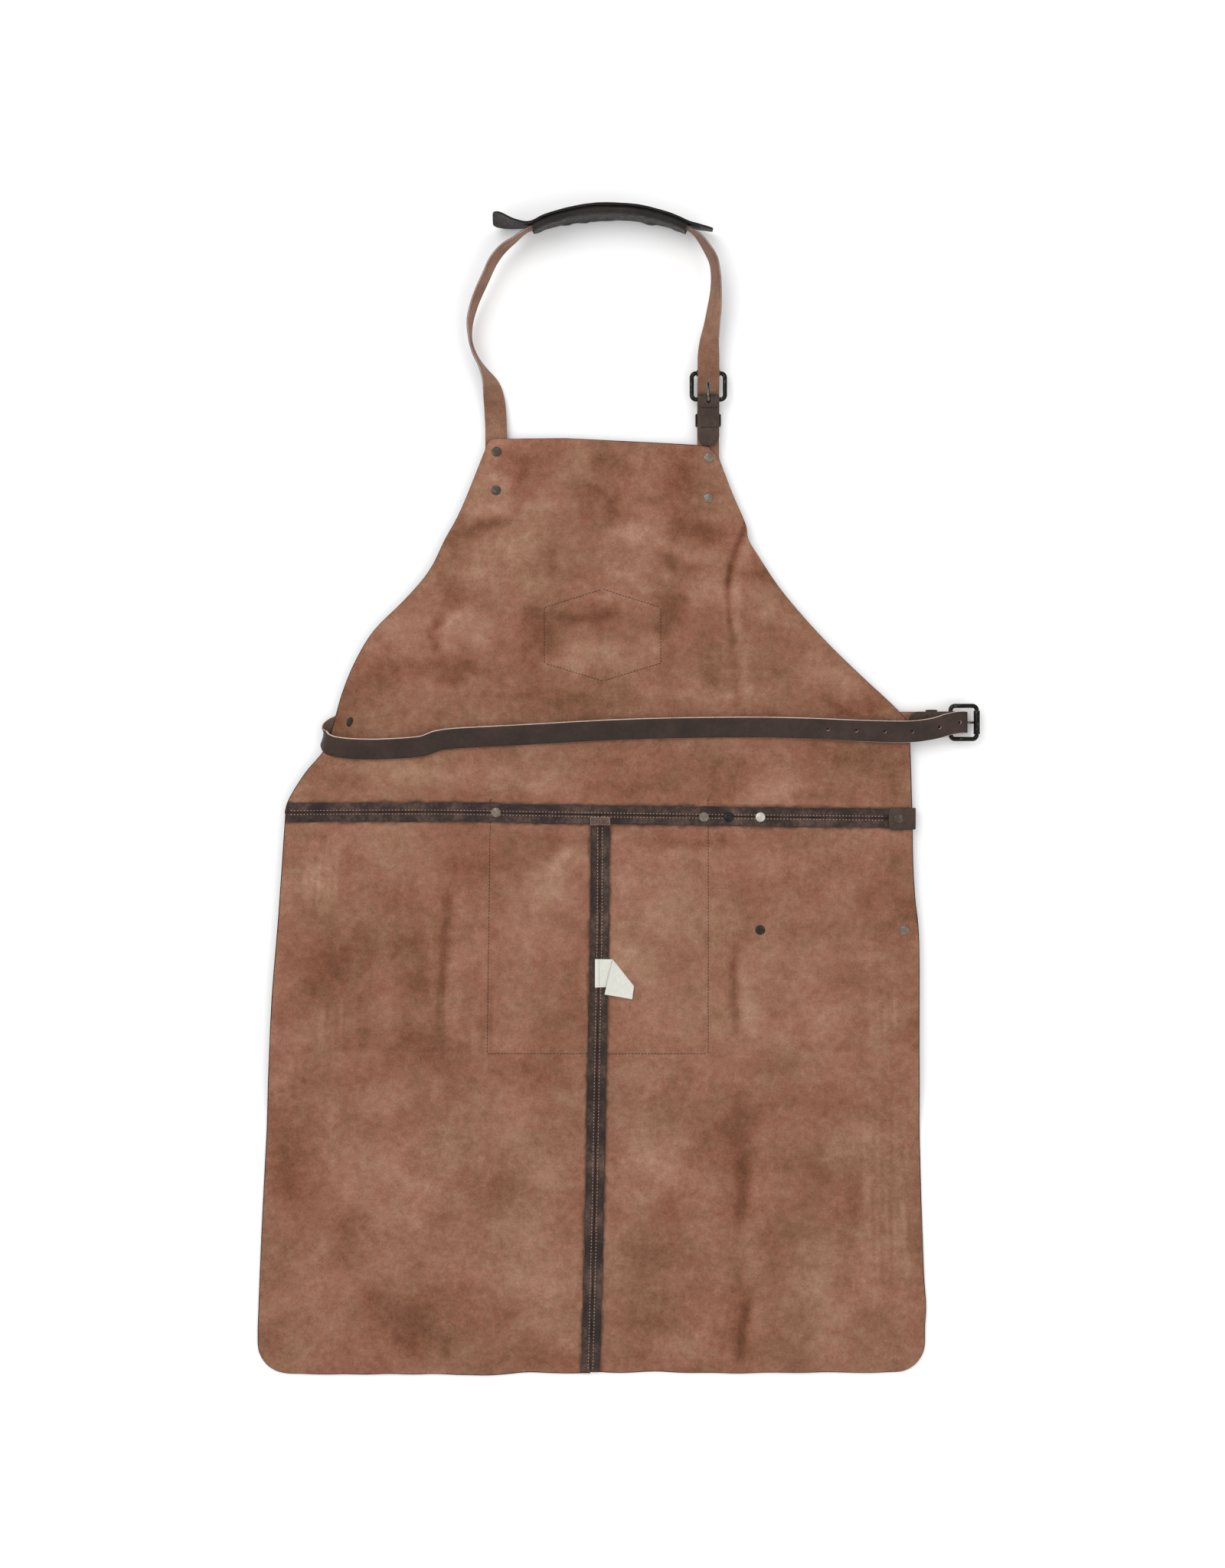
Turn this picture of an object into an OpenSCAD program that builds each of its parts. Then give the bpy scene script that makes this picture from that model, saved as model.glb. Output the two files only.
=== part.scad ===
// Leather welding apron with neck strap, waist belt, front pocket and tool straps.
// It lies flat on its front: +Z points out of the wearer's side, +Y towards the neck.
// The drawing plane has X = 0 on the centre line and Y = 0 on the waist seam; the
// whole part is then moved so that its origin is the middle of its footprint on the floor.

/* [Leather] */
// Thickness of the body, pocket and patch leather
body_t = 1.8; // [1.4:0.1:2.0]
// Thickness of the strap leather
strap_t = 2.6; // [2.2:0.1:2.6]
// Width of the straps and of the buckle tabs
strap_w = 20; // [18:0.5:20]
// Height of one turned seam allowance above the panel
seam_t = 1.5; // [1:0.1:1.6]
// Width of one turned seam allowance
seam_w = 8.5; // [7:0.5:10]

/* [Body] */
// Height of the body's underside where the pocket and the straps lie under it
lift = 7.5; // [7.5:0.1:8]
// Level of the hem below the waist seam
hem_y = -515; // [-560:1:-480]
// Radius of the two hem corners
hem_r = 28; // [15:1:40]

/* [Pocket] */
// Depth of the pocket below its mouth
pocket_depth = 219; // [160:1:220]
// Clear width inside the pocket
pocket_w = 174; // [120:1:174]
// Width of the pocket's sewn flange
pocket_flange = 18.5; // [16:0.5:19]

/* [Buckles] */
// Width of a buckle frame along its bars
buckle_w = 34.5; // [34:0.5:36]
// Distance between the heel bar and the front bar
buckle_pitch = 24; // [24:0.5:25]
// Radius of the frame's wire
wire_r = 2; // [1.8:0.1:2]
// Outer radius of the roller
roller_r = 2.9; // [2.5:0.1:2.9]
// Radius of the prong
prong_r = 1.3; // [1.1:0.1:1.3]

/* [Rivets] */
// Radius of a rivet's cap
cap_r = 4.5; // [4:0.1:5]
// Height of a rivet's cap
cap_h = 1; // [0.8:0.1:1]
// Radius of a rivet's post
post_r = 1.5; // [1.2:0.1:1.6]

/* [Neck pad] */
// Height of the pad standing on its edge
pad_h = 40; // [38:1:46]
// Radius of the pad's outer face
pad_r = 150; // [149.5:0.5:151]
// Arc of the sewn sleeve
pad_arc = 56; // [48:1:56]

/* [Hidden] */

$fn = 48;
eps = 0.01;
gap = 0.1;

SUEDE = [0.56, 0.41, 0.33];
GRAIN = [0.25, 0.20, 0.18];
STRAP = [0.55, 0.42, 0.34];
PAD = [0.16, 0.14, 0.13];
METAL = [0.30, 0.29, 0.27];
STEEL = [0.55, 0.52, 0.48];
LABEL = [0.90, 0.91, 0.86];

// edges of the whole apron's footprint: hem corner, waist buckle, hem, neck pad
pad_centre = [8, 406];
edge_left = -317;
heel_x = 321.5;
heel_y = 382.5;
edge_right = heel_x + buckle_pitch + wire_r;
edge_top = pad_centre[1] + pad_r;
origin = [(edge_left + edge_right) / 2, (hem_y + edge_top) / 2, 0];

// levels of the layers, from the floor up
top_z = lift + body_t;
seam_z = top_z + seam_t;
under_z = lift - strap_t;
heel_z = lift + wire_r + gap;
tail_z = under_z - 0.3 - strap_t / 2;
keeper_t = 1.5;
thin_bar_r = 1.4;
prong_slot_w = 4;
tab_slot = 13;
roller_l = 22;
label_t = 0.5;
floor_gap = 0.3;
// longer than anything it has to cut
far = 800;

// the waist seam drops a little from left to right, the skirt seam leans a little to the left
waist_tilt = -0.6;
skirt_tilt = -1;
waist_centre = 0.4;
skirt_centre = -0.7;

// where the body leaves the plateau over the pocket and comes down to the floor
ramp_top = -235;
ramp_end = -300;

neck_x = 98.7;
waist_y = 85.5;
tool_y = [-3, -105.5];
hem_right = 299;
hem_rise = 1;
pocket_x = -3;
pocket_top = 15;

// the upper tool strap comes round the edge of the body and lies on the wearer's side
edge_x = 288;
edge_tip_x = 264;
edge_r = (seam_z + gap - lift) / 2;

// the neck strap inside the pad
pad_mid_z = 20;
pad_mid_a = 90;
neck_arc_r = pad_r - body_t - 3.6;

// the belt's turn round the front bar of the waist buckle, and its holes
turn_x = 329.5;
turn_r = heel_z - tail_z;
belt_holes = [208, 234, 260, 285, 310];
hole_r = 2.4;

// rivets: [x, y]
bib_left_rivets = [[-96, 334.5], [-96.5, 299]];
bib_right_rivets = [[99, 329], [98.6, 292]];
pocket_rivets = [[-96.5, 2.8], [94.7, -1.4]];
tool_rivets_upper = [[146.5, -1.5]];
tool_rivets_lower = [[146.5, -105.3], [279, -105.7]];
stud = [117.6, -1.5];
edge_rivet = [273, -3];
belt_rivet = [-231, 86];
waist_tab_rivets = [[238, 84.5], [264, 84.5]];
body_rivets = concat(bib_left_rivets, bib_right_rivets, pocket_rivets, tool_rivets_upper, tool_rivets_lower,
    [stud, edge_rivet, belt_rivet], waist_tab_rivets);

// ---- curves ----
function unit(v) = v / norm(v);
function spline_point(a, b, c, d, t) =
    0.5 * (2 * b + (c - a) * t + (2 * a - 5 * b + 4 * c - d) * t * t
    + (3 * b - a - 3 * c + d) * t * t * t);
function spline(pts, steps) = [
    for (i = [0 : len(pts) - 2])
        for (k = [0 : steps - 1])
            spline_point(pts[max(i - 1, 0)], pts[i], pts[i + 1], pts[min(i + 2, len(pts) - 1)], k / steps),
    pts[len(pts) - 1]
];
function arc(centre, r, from, to, steps) =
    [for (k = [0 : steps]) let (a = from + (to - from) * k / steps) centre + r * [cos(a), sin(a)]];
function flip(pts) = [for (i = [len(pts) - 1 : -1 : 0]) pts[i]];

// ---- outlines, from the waist up and from the waist down ----
bib_left = spline([[-290, -5], [-289, 11], [-273, 38], [-253.5, 62], [-245, 89], [-238, 113], [-226.5, 141],
    [-209, 170], [-181, 198], [-158, 225], [-143.5, 254], [-128.5, 282], [-106, 338]], 3);
bib_right = spline([[108.5, 329], [121, 296], [133, 268], [144.5, 239], [163, 211], [186, 183], [212, 155],
    [241, 127], [275, 95]], 3);
bib_outline = concat(
    bib_left,
    arc([-97, 337.5], 9, 170, 95, 4),
    spline([[-32, 347], [85, 341], [99, 338.5]], 3),
    bib_right,
    spline([[283, 80], [285, 50], [286, 18], [287, -8]], 3)
);
skirt_left = spline([[-290, 8], [-291.5, -15], [-297, -95], [-303, -170], [-307, -257], [-313.5, -387],
    [edge_left, -475]], 3);
skirt_right = spline([[hem_right, -472], [300, -451], [298, -419], [295, -329], [293, -236], [292.8, -118],
    [289, -75], [287, -35], [287, 8]], 3);
skirt_outline = concat(
    skirt_left,
    arc([edge_left + hem_r, hem_y + hem_r], hem_r, 180, 270, 8),
    arc([hem_right - hem_r, hem_y + hem_r + hem_rise], hem_r, 275, 360, 8),
    skirt_right
);

// height of the body's underside along Y
function drape(raise) = [[hem_y - 5, raise], [ramp_end, raise], [ramp_top, lift + raise], [30, lift + raise]];

// ---- building blocks ----
module slab(outline, z0, z1) {
    translate([0, 0, z0]) linear_extrude(z1 - z0) polygon(outline);
}

module block(low, high) {
    translate(low) cube(high - low);
}

// a band that follows the fall of the body from the plateau to the floor
module draped(raise, t) {
    line = drape(raise);
    upper = [for (p = line) p + [0, t]];
    translate([-far / 2, 0, 0]) rotate([90, 0, 90]) linear_extrude(far) polygon(concat(line, flip(upper)));
}

// everything above (side = 1) or below (side = -1) the waist seam
module beyond_waist(side) {
    translate([0, waist_centre, -1]) rotate([0, 0, waist_tilt])
        translate([-far / 2, side > 0 ? 0 : -far, 0]) cube([far, far, far]);
}

// everything to the right (side = 1) or left (side = -1) of the skirt seam
module beside_seam(side) {
    translate([skirt_centre, 0, -1]) rotate([0, 0, skirt_tilt])
        translate([side > 0 ? 0 : -far, -far, 0]) cube([far, 2 * far, far]);
}

module rivet_holes(points) {
    for (p = points) translate([p[0], p[1], -5]) cylinder(r = post_r + 2 * gap, h = 60);
}

// the turned half of a double-cap rivet that shows on the wearer's side
module rivet_cap(p, z) {
    translate([p[0], p[1], z]) rotate_extrude()
        polygon(concat([[0, 0]], arc([cap_r - cap_h, 0], cap_h, 0, 90, 6), [[0, cap_h]]));
}

// the half with the post; its own cap lies on the front
module rivet_post(p, z0, z1) {
    translate([p[0], p[1], z0 - cap_h]) cylinder(r = cap_r, h = cap_h);
    translate([p[0], p[1], z0 - eps]) cylinder(r = post_r, h = z1 - z0 + eps);
}

// a flat strap along a route of [x, y, z, width direction x, y, z]
function strap_ring(p, dir, side, w, t) =
    let (across = unit(side - (side * dir) * dir), up = cross(dir, across))
    [p - across * w / 2 - up * t / 2, p + across * w / 2 - up * t / 2,
        p + across * w / 2 + up * t / 2, p - across * w / 2 + up * t / 2];

module strap(route, steps) {
    rows = spline(route, steps);
    n = len(rows);
    mid = [for (r = rows) [r[0], r[1], r[2]]];
    rings = [for (i = [0 : n - 1])
        strap_ring(mid[i], unit(mid[min(i + 1, n - 1)] - mid[max(i - 1, 0)]),
            [rows[i][3], rows[i][4], rows[i][5]], strap_w, strap_t)];
    sides = [for (i = [0 : n - 2]) for (k = [0 : 3])
        let (a = 4 * i + k, b = 4 * i + (k + 1) % 4) each [[a, a + 4, b + 4], [a, b + 4, b]]];
    last = 4 * (n - 1);
    polyhedron(
        points = [for (r = rings) for (v = r) v],
        faces = concat([[0, 1, 2, 3]], sides, [[last + 3, last + 2, last + 1, last]])
    );
}

// ---- body ----
module bib_panel() color(SUEDE) difference() {
    intersection() {
        slab(bib_outline, lift, top_z);
        beyond_waist(1);
    }
    rivet_holes(body_rivets);
}

module skirt_panel(side) color(SUEDE) difference() {
    intersection() {
        slab(skirt_outline, -1, top_z + 1);
        draped(0, body_t);
        beyond_waist(-1);
        beside_seam(side);
    }
    rivet_holes(body_rivets);
}

module skirt_panel_left() skirt_panel(-1);

module skirt_panel_right() skirt_panel(1);

// the turned edge of a panel along the waist seam, grain side out
module waist_seam(side) {
    difference() {
        intersection() {
            translate([0, waist_centre, top_z]) rotate([0, 0, waist_tilt])
                translate([-289, side > 0 ? 0 : -seam_w, 0]) cube([574, seam_w, seam_t]);
            slab(concat(bib_outline, flip([[-290, -20], [287, -20]])), 0, 30);
        }
        rivet_holes(body_rivets);
    }
}

module waist_seam_upper() color(GRAIN) waist_seam(1);

module waist_seam_lower_left() color(GRAIN) intersection() {
    waist_seam(-1);
    beside_seam(-1);
}

module waist_seam_lower_right() color(GRAIN) intersection() {
    waist_seam(-1);
    beside_seam(1);
}

// the turned edge of a skirt panel along the centre seam
module skirt_seam(side) color(GRAIN) intersection() {
    draped(body_t, seam_t);
    translate([skirt_centre, 0, -1]) rotate([0, 0, skirt_tilt])
        translate([side > 0 ? 0 : -seam_w, hem_y, 0]) cube([seam_w, -hem_y - seam_w, 30]);
    slab(skirt_outline, -1, 30);
}

module skirt_seam_left() skirt_seam(-1);

module skirt_seam_right() skirt_seam(1);

// ---- front pieces, under the body as it lies ----
module chest_patch() color(GRAIN)
    slab([[-56, 194], [1.6, 213], [59, 194], [59, 137], [1.6, 118.5], [-56, 137]], lift - body_t, lift);

module front_pocket() color(GRAIN) difference() {
    half = pocket_w / 2;
    bottom = pocket_top - pocket_depth;
    union() {
        block([pocket_x - half - pocket_flange, bottom - pocket_flange, lift - body_t],
            [pocket_x + half + pocket_flange, pocket_top, lift]);
        block([pocket_x - half - body_t, bottom - body_t, 0], [pocket_x + half + body_t, pocket_top, lift - eps]);
    }
    block([pocket_x - half, bottom, body_t], [pocket_x + half, pocket_top + 1, lift + 1]);
    rivet_holes(pocket_rivets);
}

// a tool strap stands off the body between its rivets, so that a tool slides behind it
function tool_bow(x0, x1) =
    let (end = 9, near = 7, away = 19)
    [[x0 - end, under_z], [x0 + near, under_z], [x0 + away, floor_gap], [x1 - away, floor_gap],
        [x1 - near, under_z], [x1 + end, under_z]];

function strap_side(line) = [for (p = line) p + [0, strap_t]];

module tool_strap(outline, y)
    translate([0, y + strap_w / 2, 0]) rotate([90, 0, 0]) linear_extrude(strap_w) polygon(outline);

module tool_strap_upper() color(GRAIN) difference() {
    line = concat([[107, under_z], [128, under_z]], tool_bow(146.5, edge_rivet[0]), [[edge_x - 1, under_z]]);
    centre = [edge_x, lift + edge_r];
    tool_strap(concat(
        line,
        arc(centre, edge_r + strap_t, -90, 90, 12),
        [[edge_tip_x, seam_z + gap + strap_t], [edge_tip_x, seam_z + gap]],
        arc(centre, edge_r, 90, -90, 12),
        flip(strap_side(line))
    ), tool_y[0]);
    rivet_holes(concat([stud, edge_rivet], tool_rivets_upper));
}

module tool_strap_lower() color(GRAIN) difference() {
    line = tool_bow(146.5, 279);
    tool_strap(concat(line, flip(strap_side(line))), tool_y[1]);
    rivet_holes(tool_rivets_lower);
}

module care_label() color(LABEL)
    slab([[-5.5, -132], [10.8, -132], [30.3, -156.5], [28.7, -168.7], [3.3, -164.1], [4.2, -158], [-5.5, -158]],
        seam_z, seam_z + label_t);

// ---- buckle pieces; each is drawn with its heel bar on the Y axis through [0, 0, heel_z]
//      and its front bar towards +X ----
module on_neck() {
    translate([neck_x, heel_y, 0]) rotate([0, 0, 90]) children();
}

module on_waist() {
    translate([heel_x, waist_y, 0]) children();
}

module across(y, w) {
    translate([0, y + w / 2, 0]) rotate([90, 0, 0]) linear_extrude(w) children();
}

// one strap folded round the heel bar: a long layer under the body and a short layer on top
module buckle_tab(length, tip) {
    eye_r = wire_r + gap;
    fold_r = eye_r + strap_t;
    short_z = max(lift + keeper_t, top_z) + gap;
    tip_x = strap_w / 2 - tip;
    // the short layer falls from the heel bar to the body between these two
    fall_from = 4;
    fall_to = 13;
    difference() {
        union() {
            across(0, strap_w) {
                difference() {
                    translate([0, heel_z]) circle(r = fold_r);
                    translate([0, heel_z]) circle(r = eye_r);
                    translate([-2 * fold_r, heel_z - fold_r - 1]) square([2 * fold_r, 2 * fold_r + 2]);
                }
                translate([-length, under_z]) square([length + eps, strap_t]);
                polygon([[eps, heel_z + eye_r], [-fall_from - 1, heel_z + eye_r], [-fall_to - 1, short_z],
                    [tip_x, short_z], [tip_x, short_z + strap_t], [-fall_to, short_z + strap_t],
                    [-fall_from, heel_z + fold_r], [eps, heel_z + fold_r]]);
            }
            translate([tip_x, 0, short_z]) cylinder(r = strap_w / 2, h = strap_t);
        }
        // slot for the prong
        block([-tab_slot / 2, -prong_slot_w / 2, 0], [tab_slot / 2 + 2, prong_slot_w / 2, 30]);
    }
}

// a leather loop round the long layer and the strap's tail, caught under the short layer
module keeper(x, w) {
    inner = strap_w / 2 + 0.3;
    difference() {
        block([x - w / 2, -inner - keeper_t, 0], [x + w / 2, inner + keeper_t, lift + keeper_t]);
        block([x - w / 2 - 1, -inner, keeper_t], [x + w / 2 + 1, inner, lift]);
    }
}

module bar(from, to, r) {
    length = norm(to - from);
    translate(from) rotate([0, acos((to[2] - from[2]) / length), atan2(to[1] - from[1], to[0] - from[0])])
        cylinder(r = r, h = length);
}

module buckle_frame() {
    corner = 4;
    half = buckle_w / 2 - wire_r;
    for (side = [-1, 1]) {
        bar([corner, side * half, heel_z], [buckle_pitch - corner, side * half, heel_z], wire_r);
        for (end = [0, 1])
            translate([end ? buckle_pitch - corner : corner, side * (half - corner), heel_z])
                rotate([0, 0, end ? (side > 0 ? 0 : -90) : (side > 0 ? 90 : 180)])
                    rotate_extrude(angle = 90) translate([corner, 0]) circle(r = wire_r);
    }
    bar([0, -half + corner, heel_z], [0, half - corner, heel_z], wire_r);
    bar([buckle_pitch, -half + corner, heel_z], [buckle_pitch, half - corner, heel_z], thin_bar_r);
}

module buckle_prong() {
    ring_r = wire_r + gap + 1.5;
    difference() {
        union() {
            translate([0, 1.5, heel_z]) rotate([90, 0, 0]) cylinder(r = ring_r, h = 3);
            bar([2.6, 0, heel_z - 1.1], [buckle_pitch + 2, 0, heel_z - roller_r - prong_r - 0.3], prong_r);
        }
        translate([0, 5, heel_z]) rotate([90, 0, 0]) cylinder(r = wire_r + gap, h = 10);
    }
}

module buckle_roller()
    translate([buckle_pitch, roller_l / 2, heel_z]) rotate([90, 0, 0]) difference() {
        cylinder(r = roller_r, h = roller_l);
        translate([0, 0, -1]) cylinder(r = thin_bar_r + 0.08, h = roller_l + 2);
    }

// ---- neck strap: from its hidden tail through the buckle, round the neck, to the left of the bib ----
neck_route = concat(
    [
        [neck_x, 338, tail_z, 1, 0, 0],
        [neck_x, 360, tail_z, 1, 0, 0],
        [neck_x, 379, tail_z, 1, 0, 0],
        [neck_x, 385, tail_z + 0.3, 1, 0, 0],
        [neck_x, 390, 6.4, 1, 0, 0],
        [neck_x, 396, 10.2, 1, 0, 0],
        [neck_x, 401, 13, 1, 0, 0],
        [neck_x, 407, 14.6, 1, 0, 0],
        [98.6, 416, 14, 1, 0, 0.05],
        [99.3, 434, 13, 0.85, 0, 0.5],
        [102, 451, 13.5, 0.68, 0, 0.73],
        [104.3, 466.6, 15, 0.58, 0, 0.82],
        [105.3, 481, 16.5, 0.42, 0, 0.9],
        [105.2, 495, 17.8, 0.33, 0, 0.94],
        [103, 508.5, 19, 0.25, 0.1, 0.96],
        [96.5, 520, 20, 0.12, 0.12, 1]
    ],
    [for (a = [58 : 8 : 122]) [pad_centre[0] + neck_arc_r * cos(a), pad_centre[1] + neck_arc_r * sin(a),
        pad_mid_z, 0, 0, 1]],
    [
        [-80, 525, 20, -0.1, 0.1, 1],
        [-89.5, 519.5, 19.5, -0.18, 0.12, 1],
        [-98.5, 508.5, 18.5, -0.2, 0.1, 1],
        [-105, 494.5, 17.5, -0.2, 0.1, 1],
        [-111.5, 480.5, 16.5, -0.2, 0.1, 1],
        [-117, 466.5, 15.2, -0.18, 0.05, 1],
        [-120.3, 452.5, 13.8, -0.12, 0.05, 1],
        [-120, 438, 13, -0.03, 0, 1],
        [-116, 424, 12.3, -0.1, 0, 1],
        [-108.5, 410.5, 11.2, -0.28, 0, 0.96],
        [-101.5, 396.5, 9, -0.72, 0, 0.7],
        [-98.3, 382, 6.8, -0.95, 0, 0.3],
        [-96.8, 362, under_z + strap_t / 2, -1, 0, 0],
        [-96.5, 345, under_z + strap_t / 2, -1, 0, 0],
        [-96.5, 288, under_z + strap_t / 2, -1, 0, 0]
    ]
);

module neck_strap() color(STRAP) difference() {
    strap(neck_route, 3);
    rivet_holes(bib_left_rivets);
    // long hole for the prong
    block([neck_x - prong_slot_w / 2, 386, 0], [neck_x + prong_slot_w / 2, 399.5, 30]);
}

module pad_arc_of(from, to, r0, r1, z0, z1) {
    translate([pad_centre[0], pad_centre[1], 0]) rotate([0, 0, from]) rotate_extrude(angle = to - from, $fn = 180)
        translate([r0, z0]) square([r1 - r0, z1 - z0]);
}

pad_base_arc = arc(pad_centre, 1, pad_mid_a + pad_arc / 2 + 1, pad_mid_a - pad_arc / 2 - 1, 24);
// the ends of the base run on past the sleeve and stand away from the strap
pad_left_end = [[-97, 546.5], [-90, 542.5], [-82, 539.3], [-74, 537.8]];
pad_right_end = [[88, 534.9], [95, 533.4], [102, 532.2]];

function pad_line(r, inset) = concat(
    [for (p = pad_left_end) p - [0, inset]],
    [for (p = pad_base_arc) pad_centre + r * (p - pad_centre)],
    [for (p = pad_right_end) p - [0, inset]]
);

module neck_pad_base() color(PAD)
    slab(concat(pad_line(pad_r, 0), flip(pad_line(pad_r - body_t, body_t))), 0, pad_h);

module neck_pad_sleeve() color(PAD) difference() {
    inner = neck_arc_r - strap_t / 2 - 0.5;
    outer = pad_r - body_t - 0.1;
    pad_arc_of(pad_mid_a - pad_arc / 2, pad_mid_a + pad_arc / 2, inner - body_t, outer, 4, pad_h - 4);
    pad_arc_of(pad_mid_a - pad_arc, pad_mid_a + pad_arc, inner, outer + 1, 4 + body_t, pad_h - 4 - body_t);
}

module neck_buckle_tab() color(GRAIN) difference() {
    on_neck() buckle_tab(100, 43);
    rivet_holes(bib_right_rivets);
}

module neck_keeper() color(GRAIN) on_neck() keeper(-18.5, 11);

module neck_buckle_frame() color(METAL) on_neck() buckle_frame();

module neck_buckle_prong() color(METAL) on_neck() buckle_prong();

module neck_buckle_roller() color(METAL) on_neck() buckle_roller();

// ---- waist belt: from under the left wing, round its edge, across the back, through the buckle ----
belt_route = [
    [-206, 88, under_z + strap_t / 2 - gap, 0, 1, 0],
    [-222, 87, under_z + strap_t / 2 - gap, 0, 1, 0],
    [-240, 84, under_z + strap_t / 2 - gap, 0, 1, 0],
    [-253, 78, under_z + strap_t / 2 - gap, 0, 1, 0],
    [-258.5, 71, 9.8, 0, 1, 0.15],
    [-251, 65, 14.2, 0, 0.95, 0.3],
    [-236, 62, 14.6, 0, 0.94, 0.34],
    [-199, 61, 14.3, 0, 0.94, 0.34],
    [-165, 63.5, 14.3, 0, 0.94, 0.34],
    [-142, 70, 14.3, 0, 0.94, 0.34],
    [-73, 74, 14.3, 0, 0.94, 0.34],
    [9, 78.5, 14.3, 0, 0.94, 0.34],
    [78, 80.5, 14.3, 0, 0.94, 0.34],
    [145, 81, 14.6, 0, 0.94, 0.34],
    [190, 80, 15.4, 0, 0.94, 0.34],
    [235, 78.5, 16.4, 0, 0.94, 0.34],
    [280, 78, 17.6, 0, 0.94, 0.34],
    [304, 80.5, 17.6, 0, 0.96, 0.28],
    [319, 83.8, 16.9, 0, 1, 0.08],
    [turn_x, waist_y, heel_z + turn_r, 0, 1, 0],
    [turn_x + 0.707 * turn_r, waist_y, heel_z + 0.707 * turn_r, 0, 1, 0],
    [turn_x + turn_r, waist_y, heel_z, 0, 1, 0],
    [turn_x + 0.707 * turn_r, waist_y, heel_z - 0.707 * turn_r, 0, 1, 0],
    [turn_x, waist_y, tail_z, 0, 1, 0],
    [314, waist_y, tail_z, 0, 1, 0],
    [284, waist_y, tail_z, 0, 1, 0]
];
module waist_belt() color(GRAIN) difference() {
    strap(belt_route, 3);
    rivet_holes([belt_rivet]);
    for (x = belt_holes) translate([x, 79, 9.5]) cylinder(r = hole_r, h = 30);
    // the hole that the prong goes through, where the belt turns back
    translate([turn_x, waist_y, heel_z - 2.6]) rotate([0, 90, 0]) cylinder(r = hole_r, h = 20);
}

module waist_buckle_tab() color(GRAIN) difference() {
    on_waist() buckle_tab(95, 39);
    rivet_holes(waist_tab_rivets);
}

module waist_keeper() color(GRAIN) on_waist() keeper(-17, 10);

module waist_buckle_frame() color(METAL) on_waist() buckle_frame();

module waist_buckle_prong() color(METAL) on_waist() buckle_prong();

module waist_buckle_roller() color(METAL) on_waist() buckle_roller();

// ---- rivets ----
module bib_rivet_caps() color(METAL) for (p = concat(bib_left_rivets, bib_right_rivets)) rivet_cap(p, top_z);

module bib_rivet_posts() color(STEEL)
    for (p = concat(bib_left_rivets, bib_right_rivets)) rivet_post(p, under_z, top_z);

module pocket_rivet_caps() color(STEEL) for (p = pocket_rivets) rivet_cap(p, seam_z);

module pocket_rivet_posts() color(STEEL) for (p = pocket_rivets) rivet_post(p, lift - body_t, seam_z);

module tool_strap_rivet_caps() color(STEEL) {
    for (p = tool_rivets_upper) rivet_cap(p, seam_z);
    for (p = tool_rivets_lower) rivet_cap(p, top_z);
}

module tool_strap_rivet_posts() color(STEEL) {
    for (p = tool_rivets_upper) rivet_post(p, under_z, seam_z);
    for (p = tool_rivets_lower) rivet_post(p, under_z, top_z);
}

module tool_strap_stud_cap() color(METAL) rivet_cap(stud, seam_z);

module tool_strap_stud_post() color(METAL) rivet_post(stud, under_z, seam_z);

module edge_rivet_cap() color(METAL) rivet_cap(edge_rivet, seam_z + gap + strap_t);

module edge_rivet_post() color(STEEL) rivet_post(edge_rivet, under_z, seam_z + gap + strap_t);

module belt_rivet_cap() color(METAL) rivet_cap(belt_rivet, top_z);

module belt_rivet_post() color(STEEL) rivet_post(belt_rivet, under_z - gap, top_z);

module waist_tab_rivet_caps() color(METAL) for (p = waist_tab_rivets) rivet_cap(p, top_z);

module waist_tab_rivet_posts() color(STEEL) for (p = waist_tab_rivets) rivet_post(p, under_z, top_z);

// the origin is the middle of the footprint, on the floor
module placed() translate(-origin) children();

placed() bib_panel();
placed() skirt_panel_left();
placed() skirt_panel_right();
placed() waist_seam_upper();
placed() waist_seam_lower_left();
placed() waist_seam_lower_right();
placed() skirt_seam_left();
placed() skirt_seam_right();
placed() chest_patch();
placed() front_pocket();
placed() tool_strap_upper();
placed() tool_strap_lower();
placed() care_label();
placed() neck_strap();
placed() neck_pad_base();
placed() neck_pad_sleeve();
placed() neck_buckle_tab();
placed() neck_keeper();
placed() neck_buckle_frame();
placed() neck_buckle_prong();
placed() neck_buckle_roller();
placed() waist_belt();
placed() waist_buckle_tab();
placed() waist_keeper();
placed() waist_buckle_frame();
placed() waist_buckle_prong();
placed() waist_buckle_roller();
placed() bib_rivet_caps();
placed() bib_rivet_posts();
placed() pocket_rivet_caps();
placed() pocket_rivet_posts();
placed() tool_strap_rivet_caps();
placed() tool_strap_rivet_posts();
placed() tool_strap_stud_cap();
placed() tool_strap_stud_post();
placed() edge_rivet_cap();
placed() edge_rivet_post();
placed() belt_rivet_cap();
placed() belt_rivet_post();
placed() waist_tab_rivet_caps();
placed() waist_tab_rivet_posts();
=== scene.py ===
"""Leather welding apron lying on its front, seen from the wearer's side.

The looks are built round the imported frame. Shapes are in millimetres in the apron's own plan, with x = 0
on the centre line and y = 0 on the waist seam; place() and add_mesh() turn that into the frame's metres.
Lights and materials are in metres.
"""
import math
import random

import bmesh
import bpy
import numpy as np
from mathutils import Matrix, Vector, noise


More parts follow.
